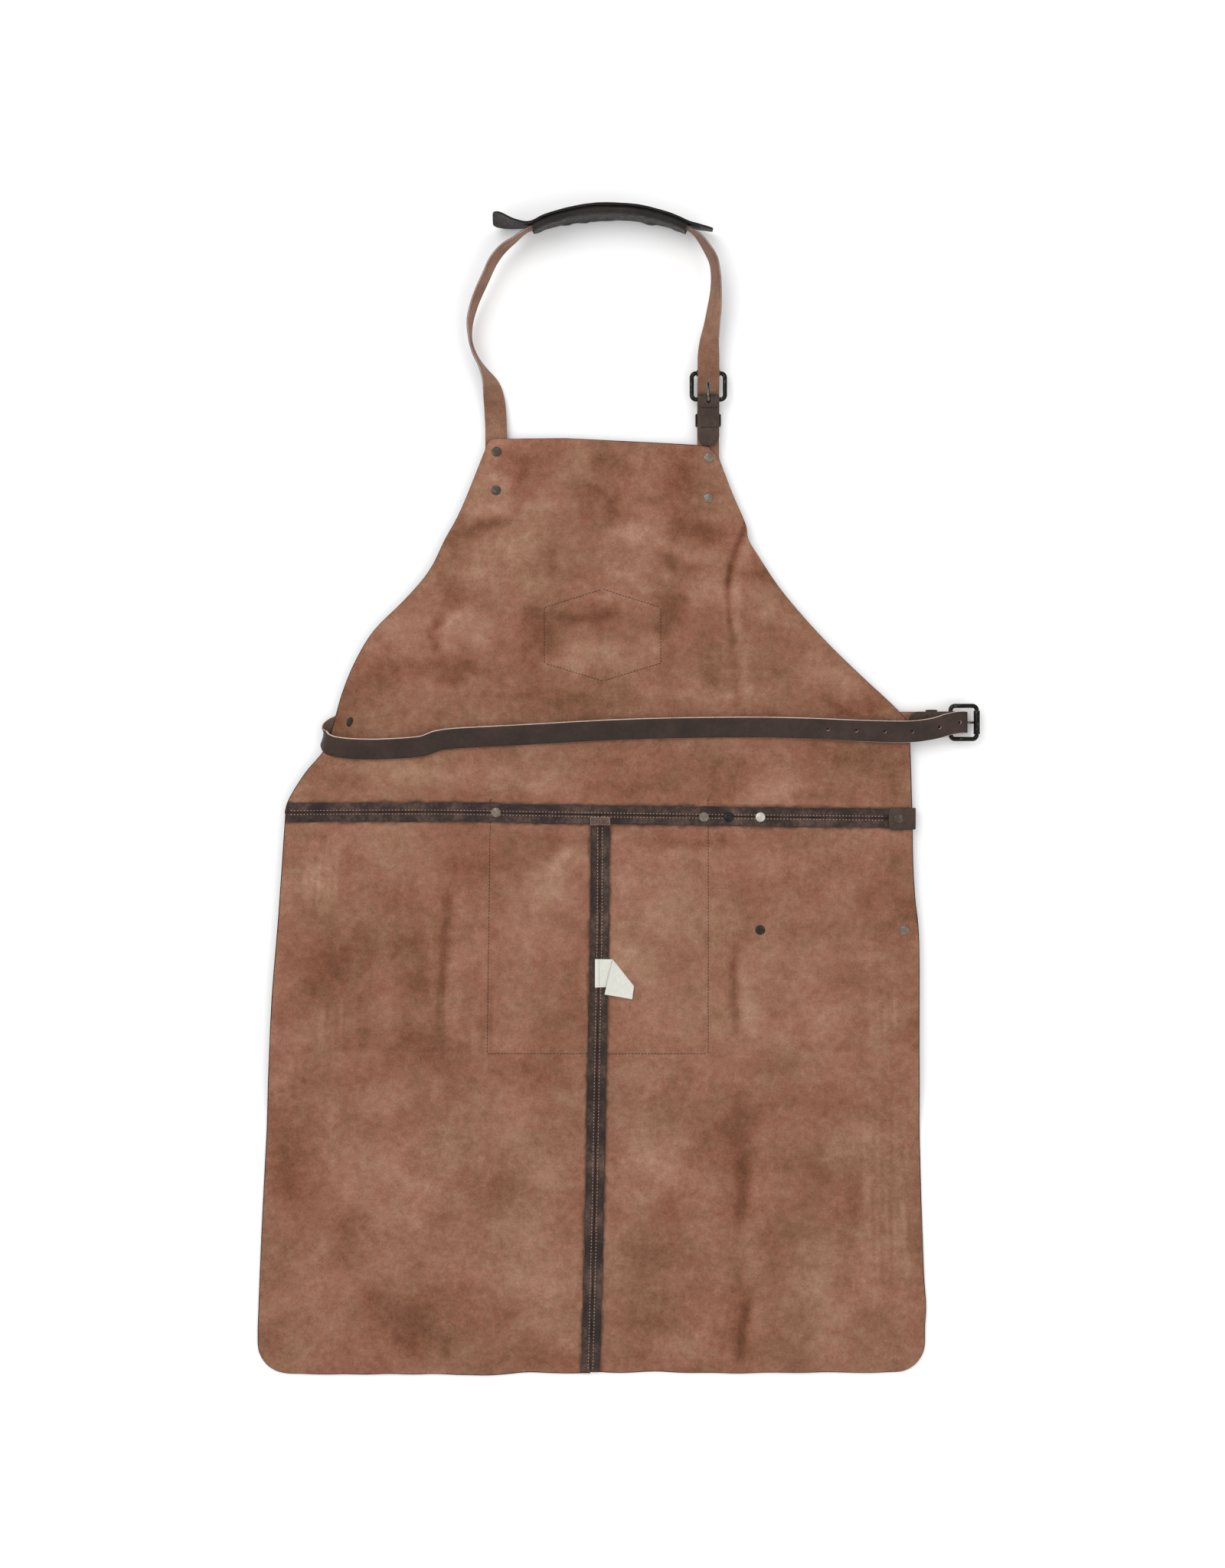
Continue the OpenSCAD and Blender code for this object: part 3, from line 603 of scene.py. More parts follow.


# ---- tone of the suede ----
# lighter rubbed places (positive) and darker places (negative), one of them a painted shadow:
# middle x, y, half length, half width, lean in degrees, amount
SPOTS = [(-96, 334, 15, 12, 0, 0.8), (-96, 301, 14, 12, 0, 0.9), (-96, 284, 26, 7, 0, 0.9),
         (99, 329, 13, 10, 0, 0.6), (-73, 316, 13, 20, 0, -0.9), (9, 322, 22, 9, 0, -0.7),
         (2, 288, 26, 12, -20, -0.9), (79, 312, 15, 22, 0, -0.8), (-110, 262, 38, 8, 22, -1.1),
         (-24, 315, 22, 12, 0, 0.5), (-52, 281, 11, 9, 0, 0.8), (27, 257, 24, 12, 0, 0.9),
         (-77, 252, 18, 14, 0, 0.5), (-51, 234, 11, 9, 0, -0.7), (-134, 201, 10, 14, 0, -0.8),
         (-150, 166, 5, 24, 0, -0.9), (-62, 162, 10, 34, 0, -0.8), (-6, 181, 42, 8, -4, -0.9),
         (62, 175, 14, 42, 0, -0.8), (-215, 130, 26, 16, 40, -0.9), (-136, 137, 34, 11, 0, -0.8),
         (-132, 174, 36, 17, 0, 0.8), (-114, 226, 16, 12, 0, 0.7), (32, 219, 26, 11, 0, 0.8),
         (10, 200, 34, 5, -12, 0.7), (-78, 148, 9, 7, 0, 0.7), (-152, 209, 9, 13, 0, 0.5),
         (-33, 143, 24, 8, 0, 0.6), (6, 150, 40, 14, 0, 0.5), (84, 262, 26, 11, -8, -0.8),
         # the dark spot at 145, 222 is a painted shadow beside the fold near x 120
         (60, 238, 40, 9, -20, -0.9), (96, 236, 18, 7, 0, 0.5), (145, 222, 26, 8, -8, -0.9),
         (40, 243, 14, 10, 0, 0.8), (100, 206, 26, 14, 0, 0.5), (150, 190, 20, 20, 0, 0.4),
         (165, 150, 22, 16, -30, -0.5), (195, 132, 32, 9, -30, 0.6), (90, 110, 60, 9, 0, 0.7),
         (225, 98, 30, 7, -18, -0.7), (30, 104, 60, 8, 0, -0.5), (-60, 108, 44, 8, 0, -0.5),
         (-190, 100, 16, 18, 0, 0.5), (-250, 88, 14, 20, 0, -0.6), (-225, 28, 28, 12, 0, -0.7),
         (-160, 34, 50, 16, 0, 0.5), (-60, 30, 44, 12, 0, 0.6), (20, 24, 36, 8, 0, -0.4),
         (110, 34, 20, 20, 0, -0.6), (158, 28, 26, 16, 0, 0.5), (240, 52, 44, 11, 0, -0.6),
         (264, 26, 12, 14, 0, -0.6), (-44, -22, 24, 8, 0, -0.6), (-34, -40, 16, 12, 0, 1.0),
         (60, -24, 26, 8, 0, -0.6), (100, -24, 16, 8, 0, -0.6), (-262, -60, 40, 14, 0, 0.5),
         (-252, -150, 40, 40, 10, -0.6), (-170, -130, 14, 60, 0, -0.7),
         (-100, -140, 8, 60, 0, -0.4), (-60, -80, 30, 40, 0, 0.6), (60, -110, 60, 70, 0, 0.6),
         (130, -90, 16, 60, 0, -0.5), (180, -150, 34, 50, 0, 0.4), (262, -70, 30, 50, 0, -0.5),
         (-180, -215, 60, 16, -10, -0.7), (-190, -330, 70, 40, 0, 0.4),
         (-285, -330, 22, 40, 0, -0.7), (-60, -380, 40, 60, 0, 0.4),
         (-175, -470, 60, 26, -12, -0.8), (-40, -500, 44, 14, 0, -0.5), (50, -330, 34, 40, 0, 0.5),
         (70, -370, 20, 26, 0, -0.7), (130, -300, 12, 40, 0, -0.6), (205, -330, 34, 14, -40, -0.6),
         (130, -450, 16, 40, 10, -0.6), (40, -470, 40, 16, 0, -0.5), (230, -420, 40, 40, 0, 0.4)]
# painted fold shading, from the top down: painted shade along each fold line and a painted highlight on its
# right side;
# the points of each, its half width, how dark its painted shade is and how light its painted highlight on the
# right side
FOLD_SHADING_LINES = [([(134, 270), (127, 252), (119, 230), (116, 205)], 3.2, 1.3, 0.5),
           ([(116, 214), (117.5, 186), (121, 158)], 2.4, 1.0, 0.7),
           ([(121, 160), (124, 130), (127, 98)], 3.6, 0.3, 0.6),
           ([(-141, -70), (-142, -92), (-144, -127), (-148, -174), (-149, -200)], 4.2, 1.0, 0.4),
           ([(122, -120), (122, -165), (124, -200)], 4.0, 0.9, 0.4),
           ([(131, -318), (131, -350), (128, -378)], 7.0, 0.8, 0.2),
           ([(127, -372), (127, -420), (130, -452)], 4.0, 0.12, 0.3),
           ([(136, -446), (131, -470), (127, -502)], 4.6, 1.1, 0.2),
           ([(-150, 182), (-150, 166), (-153, 146)], 4.0, 0.9, 0.2)]
# faint upright streaks where the hide was pulled: middle x, y, how many, half height
STREAKS = [(-255, -52, 5, 34), (-240, -190, 6, 20), (-105, -200, 4, 26), (262, -185, 4, 22),
           (266, -350, 7, 80)]


def tone(x, y):
    """The suede's tone at each plan point: rubbed lighter places, darker places, painted shade and painted
    highlights along the folds, and one painted shadow; x and y are arrays.
    """
    value = 0.25 * waves(x, y, 90, 1.4)
    # the edges of the spots wander
    spot_x, spot_y = x + 16 * waves(x, y, 24, 5.5), y + 12 * waves(x, y, 20, 7.5)
    for mid_x, mid_y, half_x, half_y, lean, amount in SPOTS:
        cos, sin = math.cos(math.radians(lean)), math.sin(math.radians(lean))
        along = (spot_x - mid_x) * cos + (spot_y - mid_y) * sin
        over = (spot_y - mid_y) * cos - (spot_x - mid_x) * sin
        value += amount * np.exp(-(along / half_x) ** 2 - (over / half_y) ** 2)
    # painted shade along each fold line, and a painted highlight beside it on the right
    for points, half, dark, light in FOLD_SHADING_LINES:
        spots = np.array(points, float)
        line_x = np.interp(y, spots[::-1, 1], spots[::-1, 0])
        head, foot = spots[0, 1], spots[-1, 1]
        fade = smooth(y, foot - 12, foot + 12) * (1 - smooth(y, head - 12, head + 12))
        away = x - line_x + 1.6 * waves(y, 0 * y + half, 16, 2.2)
        fade = fade * (1 + 0.55 * waves(y, x, 22, 6.1))
        lit = light * np.exp(-((away - 2.6 * half) / (2 * half)) ** 2)
        value += fade * (lit - dark * np.exp(-(away / half) ** 2))
    for mid_x, mid_y, count, half in STREAKS:
        for k in range(count):
            away = (x - mid_x - 6.5 * (k - count / 2) - 2 * math.sin(5 * k)) / 1.8
            value += 0.55 * np.exp(-away ** 2 - ((y - mid_y - 9 * math.sin(3 * k)) / half) ** 2)
    return value


def stain(x, y):
    """How far finish has bled out of the seam bands into the suede."""
    reach = 3.4 + 2.4 * waves(x, y, 14, 4.4)
    waist = np.abs(y - np.interp(x, *WAIST.T)) - SEAM_W
    beside = np.where(y < 0, np.abs(x - np.interp(-y, *(SKIRT_SEAM * (1, -1)).T[::-1])) - SEAM_W, 99)
    away = np.minimum(waist, beside) + 1.8 * waves(x, y, 6, 9.1)
    return 1 - smooth(away, -0.5, np.maximum(0.8, reach))


# ---- the body ----
CELL = 3.2
WAIST_W, BIB_H, SKIRT_W, SKIRT_H = 577, 400, 300, 515


def bib(suede, grain, edge):
    """The bib and the waist's wings, cut in one piece."""
    left = [(x, y) for x, y in BIB_LEFT if y > waist_y(x) + 1]
    left = Line(np.vstack([WAIST[:1], left, arc((-97, 337.5), 9, 170, 95, 5)]))
    right = Line(np.vstack([WAIST[-1:], [(x, y) for x, y in BIB_RIGHT[::-1] if y > waist_y(x) + 1]]))
    upper = Line(np.vstack([left.rows[-1:], BIB_TOP, right.rows[-1:]]))
    bottom = Line(WAIST)
    across = stations(WAIST_W, CELL) / WAIST_W
    along = stations(BIB_H, CELL, dense=(16, 0)) / BIB_H
    grid = coons(bottom, upper, left, right, across, along)
    piece = lay_sheet("bib_leather", grid, bed, BODY_T, (suede, grain, edge), "body_suede", ["bib_panel"])
    paint_points(piece, tone=tone, stain=stain)
    outline = np.vstack([bottom.rows, right.rows, upper.rows[::-1], left.rows[::-1]])
    return piece, area_of(outline)


def skirt(side, suede, grain, edge):
    """One skirt panel, from its outer edge to the centre seam: side is -1 on the left and 1 on the right."""
    if side < 0:
        word, sewn_y, start, end = "left", HEM_Y, 180, 270
        centre = (EDGE_LEFT + HEM_R, HEM_Y + HEM_R)
        outer_rows, waist = SKIRT_LEFT, [p for p in WAIST[::-1] if p[0] < 0]
    else:
        word, sewn_y, start, end = "right", HEM_Y + 1.5, 360, 275
        centre = (HEM_RIGHT - HEM_R, HEM_Y + 1 + HEM_R)
        outer_rows, waist = SKIRT_RIGHT[::-1], [p for p in WAIST if p[0] > 0]
    outer_rows = np.vstack([waist[-1:], [p for p in outer_rows if p[1] < waist_y(p[0]) - 1]])
    # the rounded corner is shared out between the outer edge and the hem
    middle = start - 52 * side
    corner = arc(centre, HEM_R, start, middle, 6)
    rest = arc(centre, HEM_R, middle, end, 5)
    outer = Line(np.vstack([outer_rows, corner]))
    seam = Line([(seam_x(y), y) for y in np.linspace(waist_y(0), sewn_y, 60)])
    foot, heel = seam.rows[-1], np.array(rest[-1])
    hem = [foot + (heel - foot) * t + (0, 2.2 * waves(300 * t, 0, 42, side) - 1.2 * math.sin(math.pi * t))
           for t in np.linspace(0, 1, 40)]
    hem = Line(np.vstack([hem, rest[-2::-1]]))
    head = Line(np.vstack([seam.rows[:1], waist]))
    across = stations(SKIRT_W, CELL, dense=(15, 0)) / SKIRT_W
    along = stations(SKIRT_H, CELL, dense=(16, 0)) / SKIRT_H
    grid = coons(head, hem, seam, outer, across, along)
    piece = lay_sheet("skirt_leather_" + word, grid, bed, BODY_T, (suede, grain, edge), "body_suede",
                      ["skirt_panel_" + word])
    paint_points(piece, tone=tone, stain=stain)
    outline = np.vstack([head.rows, outer.rows, hem.rows[::-1], seam.rows[::-1]])
    return piece, area_of(outline)


def band(name, seam_at, off, ends, seed, materials, node):
    """A turned allowance beside a seam: seam_at(s) gives the seam's plan point, off the way away from it."""
    marks = np.linspace(ends[0], ends[1], round(abs(ends[1] - ends[0]) / 1.6) + 1)
    shares = np.array([0.0, 0.05, 0.16, 0.35, 0.6, 0.84, 0.95, 1.0])
    swell = np.array([0.25, 0.8, 1.0, 0.96, 0.92, 0.86, 0.62, 0.2])
    upper, lower = [], []
    for s in marks:
        width = band_width(s, seed)
        row = [np.array(seam_at(s)) + np.array(off) * (0.3 + width * share) for share in shares]
        levels = [top(x, y) - 0.08 for x, y in row]
        puff = 1 + 0.10 * waves(s, seed, 7, seed)
        upper.append([(x, y, z + SEAM_T * full * puff) for (x, y), z, full in zip(row, levels, swell)])
        lower.append([(x, y, z) for (x, y), z in zip(row, levels)])
    return thick_sheet(name, np.array(upper), np.array(lower), materials, "apron", "grain_leather", [node])


def seam_bands(grain, raw):
    """The five turned allowances: one above the waist seam, two below it, one each side of the skirt's."""
    def on_waist(x):
        return (x, waist_y(x))

    def on_skirt(y):
        return (seam_x(y), y)

    kinds = [("waist_allowance_upper", on_waist, (0, 1), (-288.5, 285.5), "waist_seam_upper"),
             ("waist_allowance_left", on_waist, (0, -1), (-289, -1.2), "waist_seam_lower_left"),
             ("waist_allowance_right", on_waist, (0, -1), (0, 286), "waist_seam_lower_right"),
             ("skirt_allowance_left", on_skirt, (-1, 0), (-9.6, HEM_Y + 0.6), "skirt_seam_left"),
             ("skirt_allowance_right", on_skirt, (1, 0), (-9.6, HEM_Y + 1.4), "skirt_seam_right")]
    return [band(name, seam_at, off, ends, seed, (grain, grain, raw), node)
            for seed, (name, seam_at, off, ends, node) in enumerate(kinds, 1)]


def seam_ends(leather, raw):
    """Where the skirt seam runs up under the waist seam its allowances are folded over, flesh side out."""
    low, height, thickness = -8.9, 7.4, 0.9
    for name, x0, x1 in (("seam_end_left", -9.6, -1.3), ("seam_end_right", -0.5, 8.4)):
        across = stations(x1 - x0, 1.5, 0.5)
        along = stations(height, 1.5, 0.5)
        grid = np.array([[(x0 + s + 0.3 * waves(t, x0, 3), low + t + 0.4 * waves(s, x0, 4))
                          for s in across] for t in along])
        lay_sheet(name, grid, lambda x, y: top(x, y) + SEAM_T - thickness / 2, thickness,
                  (leather, leather, raw), "grain_leather", rings=1)


# ---- stitching ----
def stitch_row(line, pitch, length, radius, seed=0, skip=0.0):
    """Short capsules of thread along a line of (x, y, z) points, as lists of points and faces.
    skip is the share of the stitches that have worn away."""
    dice = random.Random(seed)
    track = Line(line)
    points, faces = [], []
    sides, rings = 6, ((-0.5, 0.0), (-0.42, 0.75), (-0.2, 1.0), (0.2, 1.0), (0.42, 0.75), (0.5, 0.0))
    for k in range(int(track.length / pitch)):
        if dice.random() < skip:
            continue
        share = (k + 0.5) * pitch / track.length
        centre = track.at(share)[:3]
        step = track.at(min(1, share + 0.002))[:3] - track.at(max(0, share - 0.002))[:3]
        along = step / np.linalg.norm(step)
        flat = np.cross((0, 0, 1.0), along)
        flat = flat / max(np.linalg.norm(flat), 1e-6)
        along = along + flat * dice.uniform(-0.12, 0.12)
        rise = np.cross(along, flat)
        start = len(points)
        for t, full in rings:
            middle = centre + along * length * t
            turns = range(sides) if 0 < full else (0,)
            for n in turns:
                angle = FULL * n / sides
                points.append(middle + radius * full * (flat * math.cos(angle) + rise * math.sin(angle)))
        body = start + 1
        for n in range(sides):
            m = (n + 1) % sides
            faces.append((start, body + m, body + n))
            for ring in range(3):
                low, high = body + ring * sides, body + (ring + 1) * sides
                faces.append((low + n, low + m, high + m, high + n))
            faces.append((body + 3 * sides + n, body + 3 * sides + m, body + 4 * sides))
    return points, faces


def stitching(name, rows, thread):
    """One piece of sewing thread from several rows: (line, pitch, length, radius)."""
    points, faces = joined(stitch_row(*row, seed=k + len(name)) for k, row in enumerate(rows))
    return add_mesh(name, points, faces, [thread], [0] * len(faces), "apron", crease=80)


def on_top(plan, rise):
    """The plan line, laid on the wearer's side of the body."""
    return [(x, y, top(x, y) + rise) for x, y in plan]


def straight(a, b, steps=40):
    """A straight line of plan points, close enough together to follow the leather."""
    return [tuple(p) for p in np.linspace(a, b, steps + 1)]


def seam_threads(thread):
    """A row of stitches runs close along each side of both seams."""
    rise = SEAM_T * 0.93
    rows = []
    for off in (1.8, -1.8):
        waist = [(x, waist_y(x) + off) for x in np.linspace(-286, 262, 240)]
        centre = [(seam_x(y) + 1.2 * off, y) for y in np.linspace(-10.5, HEM_Y + 2, 200)]
        rows += [(on_top(waist, rise), 3.0, 1.4, 0.36), (on_top(centre, rise), 3.0, 1.5, 0.36)]
    return stitching("seam_stitching", rows, thread)


PATCH_SEAM = [(-52, 191), (1.6, 208), (55, 191), (55, 140), (1.6, 123.5), (-52, 140), (-52, 191)]


def needle_rows(thread):
    """The pocket's and the chest patch's stitches come through to the wearer's side."""
    pocket = [straight((-101.6, 12.7), (-104.6, -219)), straight((-104.6, -219), (98.6, -219)),
              straight((98.6, -219), (98.6, 12.7))]
    patch = [straight(a, b, 16) for a, b in zip(PATCH_SEAM, PATCH_SEAM[1:])]
    rows = [(on_top(line, 0.06), 3.0, 2.2, 0.3) for line in pocket + patch]
    for x, y in ((-101.6, 13.4), (98.6, 13.4)):
        rows.append((on_top(straight((x - 0.6, y), (x + 0.9, y + 1.6), 4), 0.3), 0.9, 1.9, 0.34))
    return stitching("pocket_stitching", rows, thread)


# ---- straps ----
def strap_frames(rows, marks):
    """Middle, along, across and up at each mark of a route of (x, y, z, width direction x, y, z)."""
    track = Line(catmull(rows))
    shares = np.asarray(marks) / track.length
    values = track.at(shares)
    step = 0.4 / track.length
    ahead = track.at(np.minimum(1, shares + step))[:, :3] - track.at(np.maximum(0, shares - step))[:, :3]
    along = ahead / np.linalg.norm(ahead, axis=1)[:, None]
    side = values[:, 3:]
    across = side - along * np.sum(side * along, axis=1)[:, None]
    across = across / np.linalg.norm(across, axis=1)[:, None]
    return values[:, :3], along, across, np.cross(along, across)


def strap(name, rows, materials, body, slot, nodes=(), width=STRAP_W, thickness=STRAP_T, step=2.0,
          columns=8, width_at=None, offset=None, holes=()):
    """A flat strap along a route. width_at(s) gives the share of its width and offset(s, w) moves its face,
    over the length s and the width w in millimetres. A hole is (s, w, radius, length between ends)."""
    length = Line(catmull(rows)).length
    marks = stations(length, step, 0.5)
    if width_at is not None:
        tip = np.linspace(0, 6, 13)
        marks = np.unique(np.concatenate([marks, tip, length - tip]))
    inner = width / 2 - 0.9
    lanes = np.concatenate([[-width / 2, -width / 2 + 0.3], np.linspace(-inner, inner, columns + 1),
                            [width / 2 - 0.3, width / 2]])
    full = fullness(len(marks), len(lanes))
    middle, along, across, rise = strap_frames(rows, marks)

    def surface(i, w, height):
        scale = 1.0 if width_at is None else width_at(marks[i])
        move = 0.0 if offset is None else offset(marks[i], w)
        return middle[i] + across[i] * w * scale + rise[i] * (height + move)

    def blended(s, w, height):
        i = int(np.clip(np.searchsorted(marks, s) - 1, 0, len(marks) - 2))
        t = (s - marks[i]) / (marks[i + 1] - marks[i])
        return (1 - t) * surface(i, w, height) + t * surface(i + 1, w, height)

    half = thickness / 2
    grids = [np.array([[surface(i, w, sign * half * full[i, j]) for j, w in enumerate(lanes)]
                       for i in range(len(marks))]) for sign in (1, -1)]
    cuts = []
    for s, w, radius, stretch in holes:
        reach = radius + 1.5
        first = int(np.searchsorted(marks, s - stretch / 2 - reach)) - 1
        last = int(np.searchsorted(marks, s + stretch / 2 + reach))
        left = int(np.searchsorted(lanes, w - reach - 0.01)) - 1
        right = int(np.searchsorted(lanes, w + reach + 0.01))
        block = (first, left, last - first, right - left)
        rims = [[], []]
        for i, j in rim_of(*block):
            core = np.clip(marks[i] - s, -stretch / 2, stretch / 2)
            away = np.array([marks[i] - s - core, lanes[j] - w])
            away = away / np.linalg.norm(away) * radius
            for rim, sign in zip(rims, (1, -1)):
                rim.append(blended(s + core + away[0], w + away[1], sign * half * 0.94))
        cuts.append((*block, *rims))
    return thick_sheet(name, *grids, materials, body, slot, nodes, holes=cuts)


def fit_on_body(rows):
    """Lets a route that lies on the body rise and fall with it."""
    out = []
    for x, y, z, *side in rows:
        inside = smooth(x, -246, -225) * (1 - smooth(x, 255, 285)) if z > TOP_Z else 0.0
        out.append((x, y, z + inside * relief(x, y), *side))
    return out


def neck_strap(flesh, grain, edge):
    """From its tail under the neck buckle up through it, round the nape in the pad, down to its rivets."""
    tail = [(338, TAIL_Z), (360, TAIL_Z), (379, TAIL_Z), (385, TAIL_Z + 0.3), (390, 6.4), (396, 10.2),
            (401, 13), (407, 14.6)]
    rows = [(98.7, y, z, 1, 0, 0) for y, z in tail]
    rows += [(98.6, 416, 14, 1, 0, 0.05), (99.3, 434, 13, 0.85, 0, 0.5), (102, 451, 13.5, 0.68, 0, 0.73),
             (104.3, 466.6, 15, 0.58, 0, 0.82), (105.3, 481, 16.5, 0.42, 0, 0.9),
             (105.2, 495, 17.8, 0.33, 0, 0.94), (103, 508.5, 18.6, 0.25, 0.1, 0.96),
             (97, 519.6, 19.4, 0.16, 0.08, 1), (90.5, 528.5, 20, 0.06, 0.02, 1),
             (82.9, 535.2, 20, -0.05, -0.1, 1)]
    for share in np.linspace(0.9, -0.9, 9):
        rows.append(pad_row(PAD_R - BODY_T - 2.9 - 0.2 * share * share, share))
    rows += [(-69, 534.6, 20, 0.06, -0.1, 1), (-79.4, 526.8, 19.8, -0.02, -0.03, 1),
             (-89.5, 519, 19.3, -0.14, 0.06, 1), (-98.5, 508, 18.5, -0.2, 0.1, 1),
             (-105, 494.5, 17.5, -0.2, 0.1, 1), (-111.5, 480.5, 16.5, -0.2, 0.1, 1),
             (-117, 466.5, 15.2, -0.18, 0.05, 1), (-120.3, 452.5, 13.8, -0.12, 0.05, 1),
             (-120, 438, 13, -0.03, 0, 1), (-116, 424, 12.3, -0.1, 0, 1),
             (-108.5, 410.5, 11.2, -0.28, 0, 0.96), (-101.5, 396.5, 9, -0.72, 0, 0.7),
             (-98.3, 382, 6.8, -0.95, 0, 0.3)]
    rows += [(x, y, STRAP_Z, -1, 0, 0) for x, y in ((-96.8, 362), (-96.5, 345), (-96.5, 288))]
    slot_s = Line(catmull(rows[:6])).length + 0.6
    strap("neck_strap_leather", rows, (grain, flesh, edge), "apron", "strap_leather", ["neck_strap"],
          offset=lambda s, w: 0.18 * waves(s, w, 17, 2.0), holes=[(slot_s - 4, 0, 1.9, 8.5)])


def belt(grain, flesh, edge):
    """From its rivet round the left wing's edge, across the apron and back under it at the waist buckle."""
    z = STRAP_Z - 0.1
    rows = [(-206, 88, z, 0, 1, 0), (-222, 87, z, 0, 1, 0), (-236, 84, z, 0, 1, 0),
            (-247, 79.5, z + 1, 0.05, 0.97, 0.2), (-254.2, 73.2, 9.6, 0.27, 0.88, 0.43),
            (-251, 66.1, 15.2, 0.2, 0.89, 0.41), (-240, 62.6, 16.4, 0.03, 0.93, 0.38)]
    rows += [(x, y, z, 0, 0.94, 0.34) for x, y, z in (
        (-222, 61, 15.2), (-199, 61, 14.3), (-165, 63.5, 14.3), (-142, 70, 14.3), (-73, 74, 14.3),
        (9, 78.5, 14.3), (78, 80.5, 14.3), (145, 81, 14.6), (190, 80, 15.4))]
    rows += [(235, 78, 16, 0, 0.96, 0.26), (280, 76.8, 16.4, 0, 0.99, 0.13),
             (304, 79.6, 17.2, 0, 0.97, 0.22), (319, 83.8, 16.9, 0, 1, 0.08)]
    turn_x, heel_y = 329.5, 85.5
    turn = arc((turn_x, HEEL_Z), HEEL_Z - TAIL_Z, 90, -90, 4)
    rows += [(x, heel_y, z, 0, 1, 0) for x, z in turn + [(314, TAIL_Z), (284, TAIL_Z)]]
    rows = fit_on_body(rows)
    curve = catmull(rows)
    track = Line(curve)
    main = [k for k in range(len(curve)) if curve[k, 2] > HEEL_Z and curve[k, 0] < turn_x + 1]
    holes = [(float(np.interp(x, curve[main, 0], track.run[main])), 0.0, 1.5, 0.0)
             for x in (208, 234, 260, 285, 310, 328.6)]
    strap("belt_leather", rows, (grain, flesh, edge), "apron", "grain_leather", ["waist_belt"],
          offset=lambda s, w: 0.22 * waves(s, w, 23, 5.0), holes=holes)


def tool_strap(name, rows, grain, flesh, nodes, tip=None):
    """A strap on the front, so its grain side is down here."""
    strap(name, rows, (flesh, grain, grain), "apron", "grain_leather", nodes, width_at=tip,
          offset=lambda s, w: 0.12 * waves(s, w, 19, 7.0))


def bow(x0, x1):
    """A tool strap's middle: flat at its rivets and standing off the body between them."""
    start = [(-9, STRAP_Z), (0, STRAP_Z), (7, STRAP_Z), (13, 3.9), (20, FLOOR_Z + 0.1)]
    return ([(x0 + x, z) for x, z in start] + [((x0 + x1) / 2, FLOOR_Z)]
            + [(x1 - x, z) for x, z in start[:0:-1]])


def tool_straps(grain, flesh):
    """The upper one comes round the right edge onto this side; the lower one ends short of it."""
    y = TOOL_Y[0]
    edge_x, radius = 285.4, (SEAM_Z + 0.1 - LIFT) / 2 + STRAP_T / 2
    middle_z = LIFT + (SEAM_Z + 0.1 - LIFT) / 2
    upper_z = middle_z + radius
    line = [(107, STRAP_Z), (128, STRAP_Z)] + bow(TOOL_RIVET[0], EDGE_RIVET[0])[1:] + [(284, STRAP_Z)]
    line += arc((edge_x, middle_z), radius, -90, 90, 4)
    line += [(284, upper_z), (274, upper_z), (264, upper_z)]
    rows = [(x, y, z, 0, 1, 0) for x, z in line]
    length = Line(catmull(rows)).length

    def rounded(s):
        """Both ends have rounded corners."""
        corner, half = 4, STRAP_W / 2
        past = corner - min(s, length - s)
        return 1.0 if past < 0 else (half - corner + math.sqrt(max(0.0, corner ** 2 - past ** 2))) / half

    tool_strap("tool_strap_upper_leather", rows, grain, flesh, ["tool_strap_upper"], rounded)
    span = bow(TOOL_RIVETS_LOWER[0][0], TOOL_RIVETS_LOWER[1][0])
    lower = [(x, TOOL_Y[1], z, 0, 1, 0) for x, z in span + [(288, STRAP_Z)]]
    tool_strap("tool_strap_lower_leather", lower, grain, flesh, ["tool_strap_lower"])


# ---- buckles ----
class Buckle:
    """Turns a buckle's own plan, heel bar on its y axis and front bar towards +x, into the apron's."""

    def __init__(self, name, heel, angle):
        self.name, self.heel = name, heel
        self.cos, self.sin = math.cos(math.radians(angle)), math.sin(math.radians(angle))
        self.axis = (-self.sin, self.cos, 0)

    def at(self, x, y, z):
        return (self.heel[0] + x * self.cos - y * self.sin, self.heel[1] + x * self.sin + y * self.cos, z)

    def rows(self, line):
        return [(*self.at(x, 0, z), *self.axis) for x, z in line]


NECK = Buckle("neck", (98.7, 382.5), 90)
WAIST_BUCKLE = Buckle("waist", (321.5, 85.5), 0)


def tab(buckle, grain, flesh, thread, length, tip):
    """A strap folded round the heel bar: a short layer with a round tip on top, a long one underneath."""
    fold = WIRE_R + 0.1 + STRAP_T / 2
    short = SHORT_Z + STRAP_T / 2
    line = [(-tip, short), (-tip + 12, short), (-15, short), (-9, short + 1.1), (-4, HEEL_Z + fold - 0.1)]
    line += arc((0, HEEL_Z), fold, 90, -90, 6)
    line += [(-8, STRAP_Z), (-30, STRAP_Z), (-length + 20, STRAP_Z), (-length, STRAP_Z)]
    rows = buckle.rows(line)
    fold_s = Line(catmull(rows[:9])).length
    half = STRAP_W / 2

    def tongue(s):
        return 1.0 if s > half else max(0.12, math.sqrt(half * half - (half - s) ** 2) / half)

    strap(buckle.name + "_tab_leather", rows, (grain, flesh, grain), "apron", "grain_leather",
          [buckle.name + "_buckle_tab"], width_at=tongue, offset=lambda s, w: 0.15 * waves(s, w, 11, 1.0),
          holes=[(fold_s, 0, 1.9, 14.5)], step=1.6)
    rise = SHORT_Z + STRAP_T + 0.04
    # these stitches are near-black, dark also as painted shade of their stitch holes
    rows = [([buckle.at(x, y, rise + lift) for y in np.linspace(-8.6, 8.6, 12)], 2.6, 1.9, 0.42)
            for x, lift in ((-tip + 17, 0.0), (-8.2, 1.5))]
    stitching(buckle.name + "_tab_stitching", rows, thread)


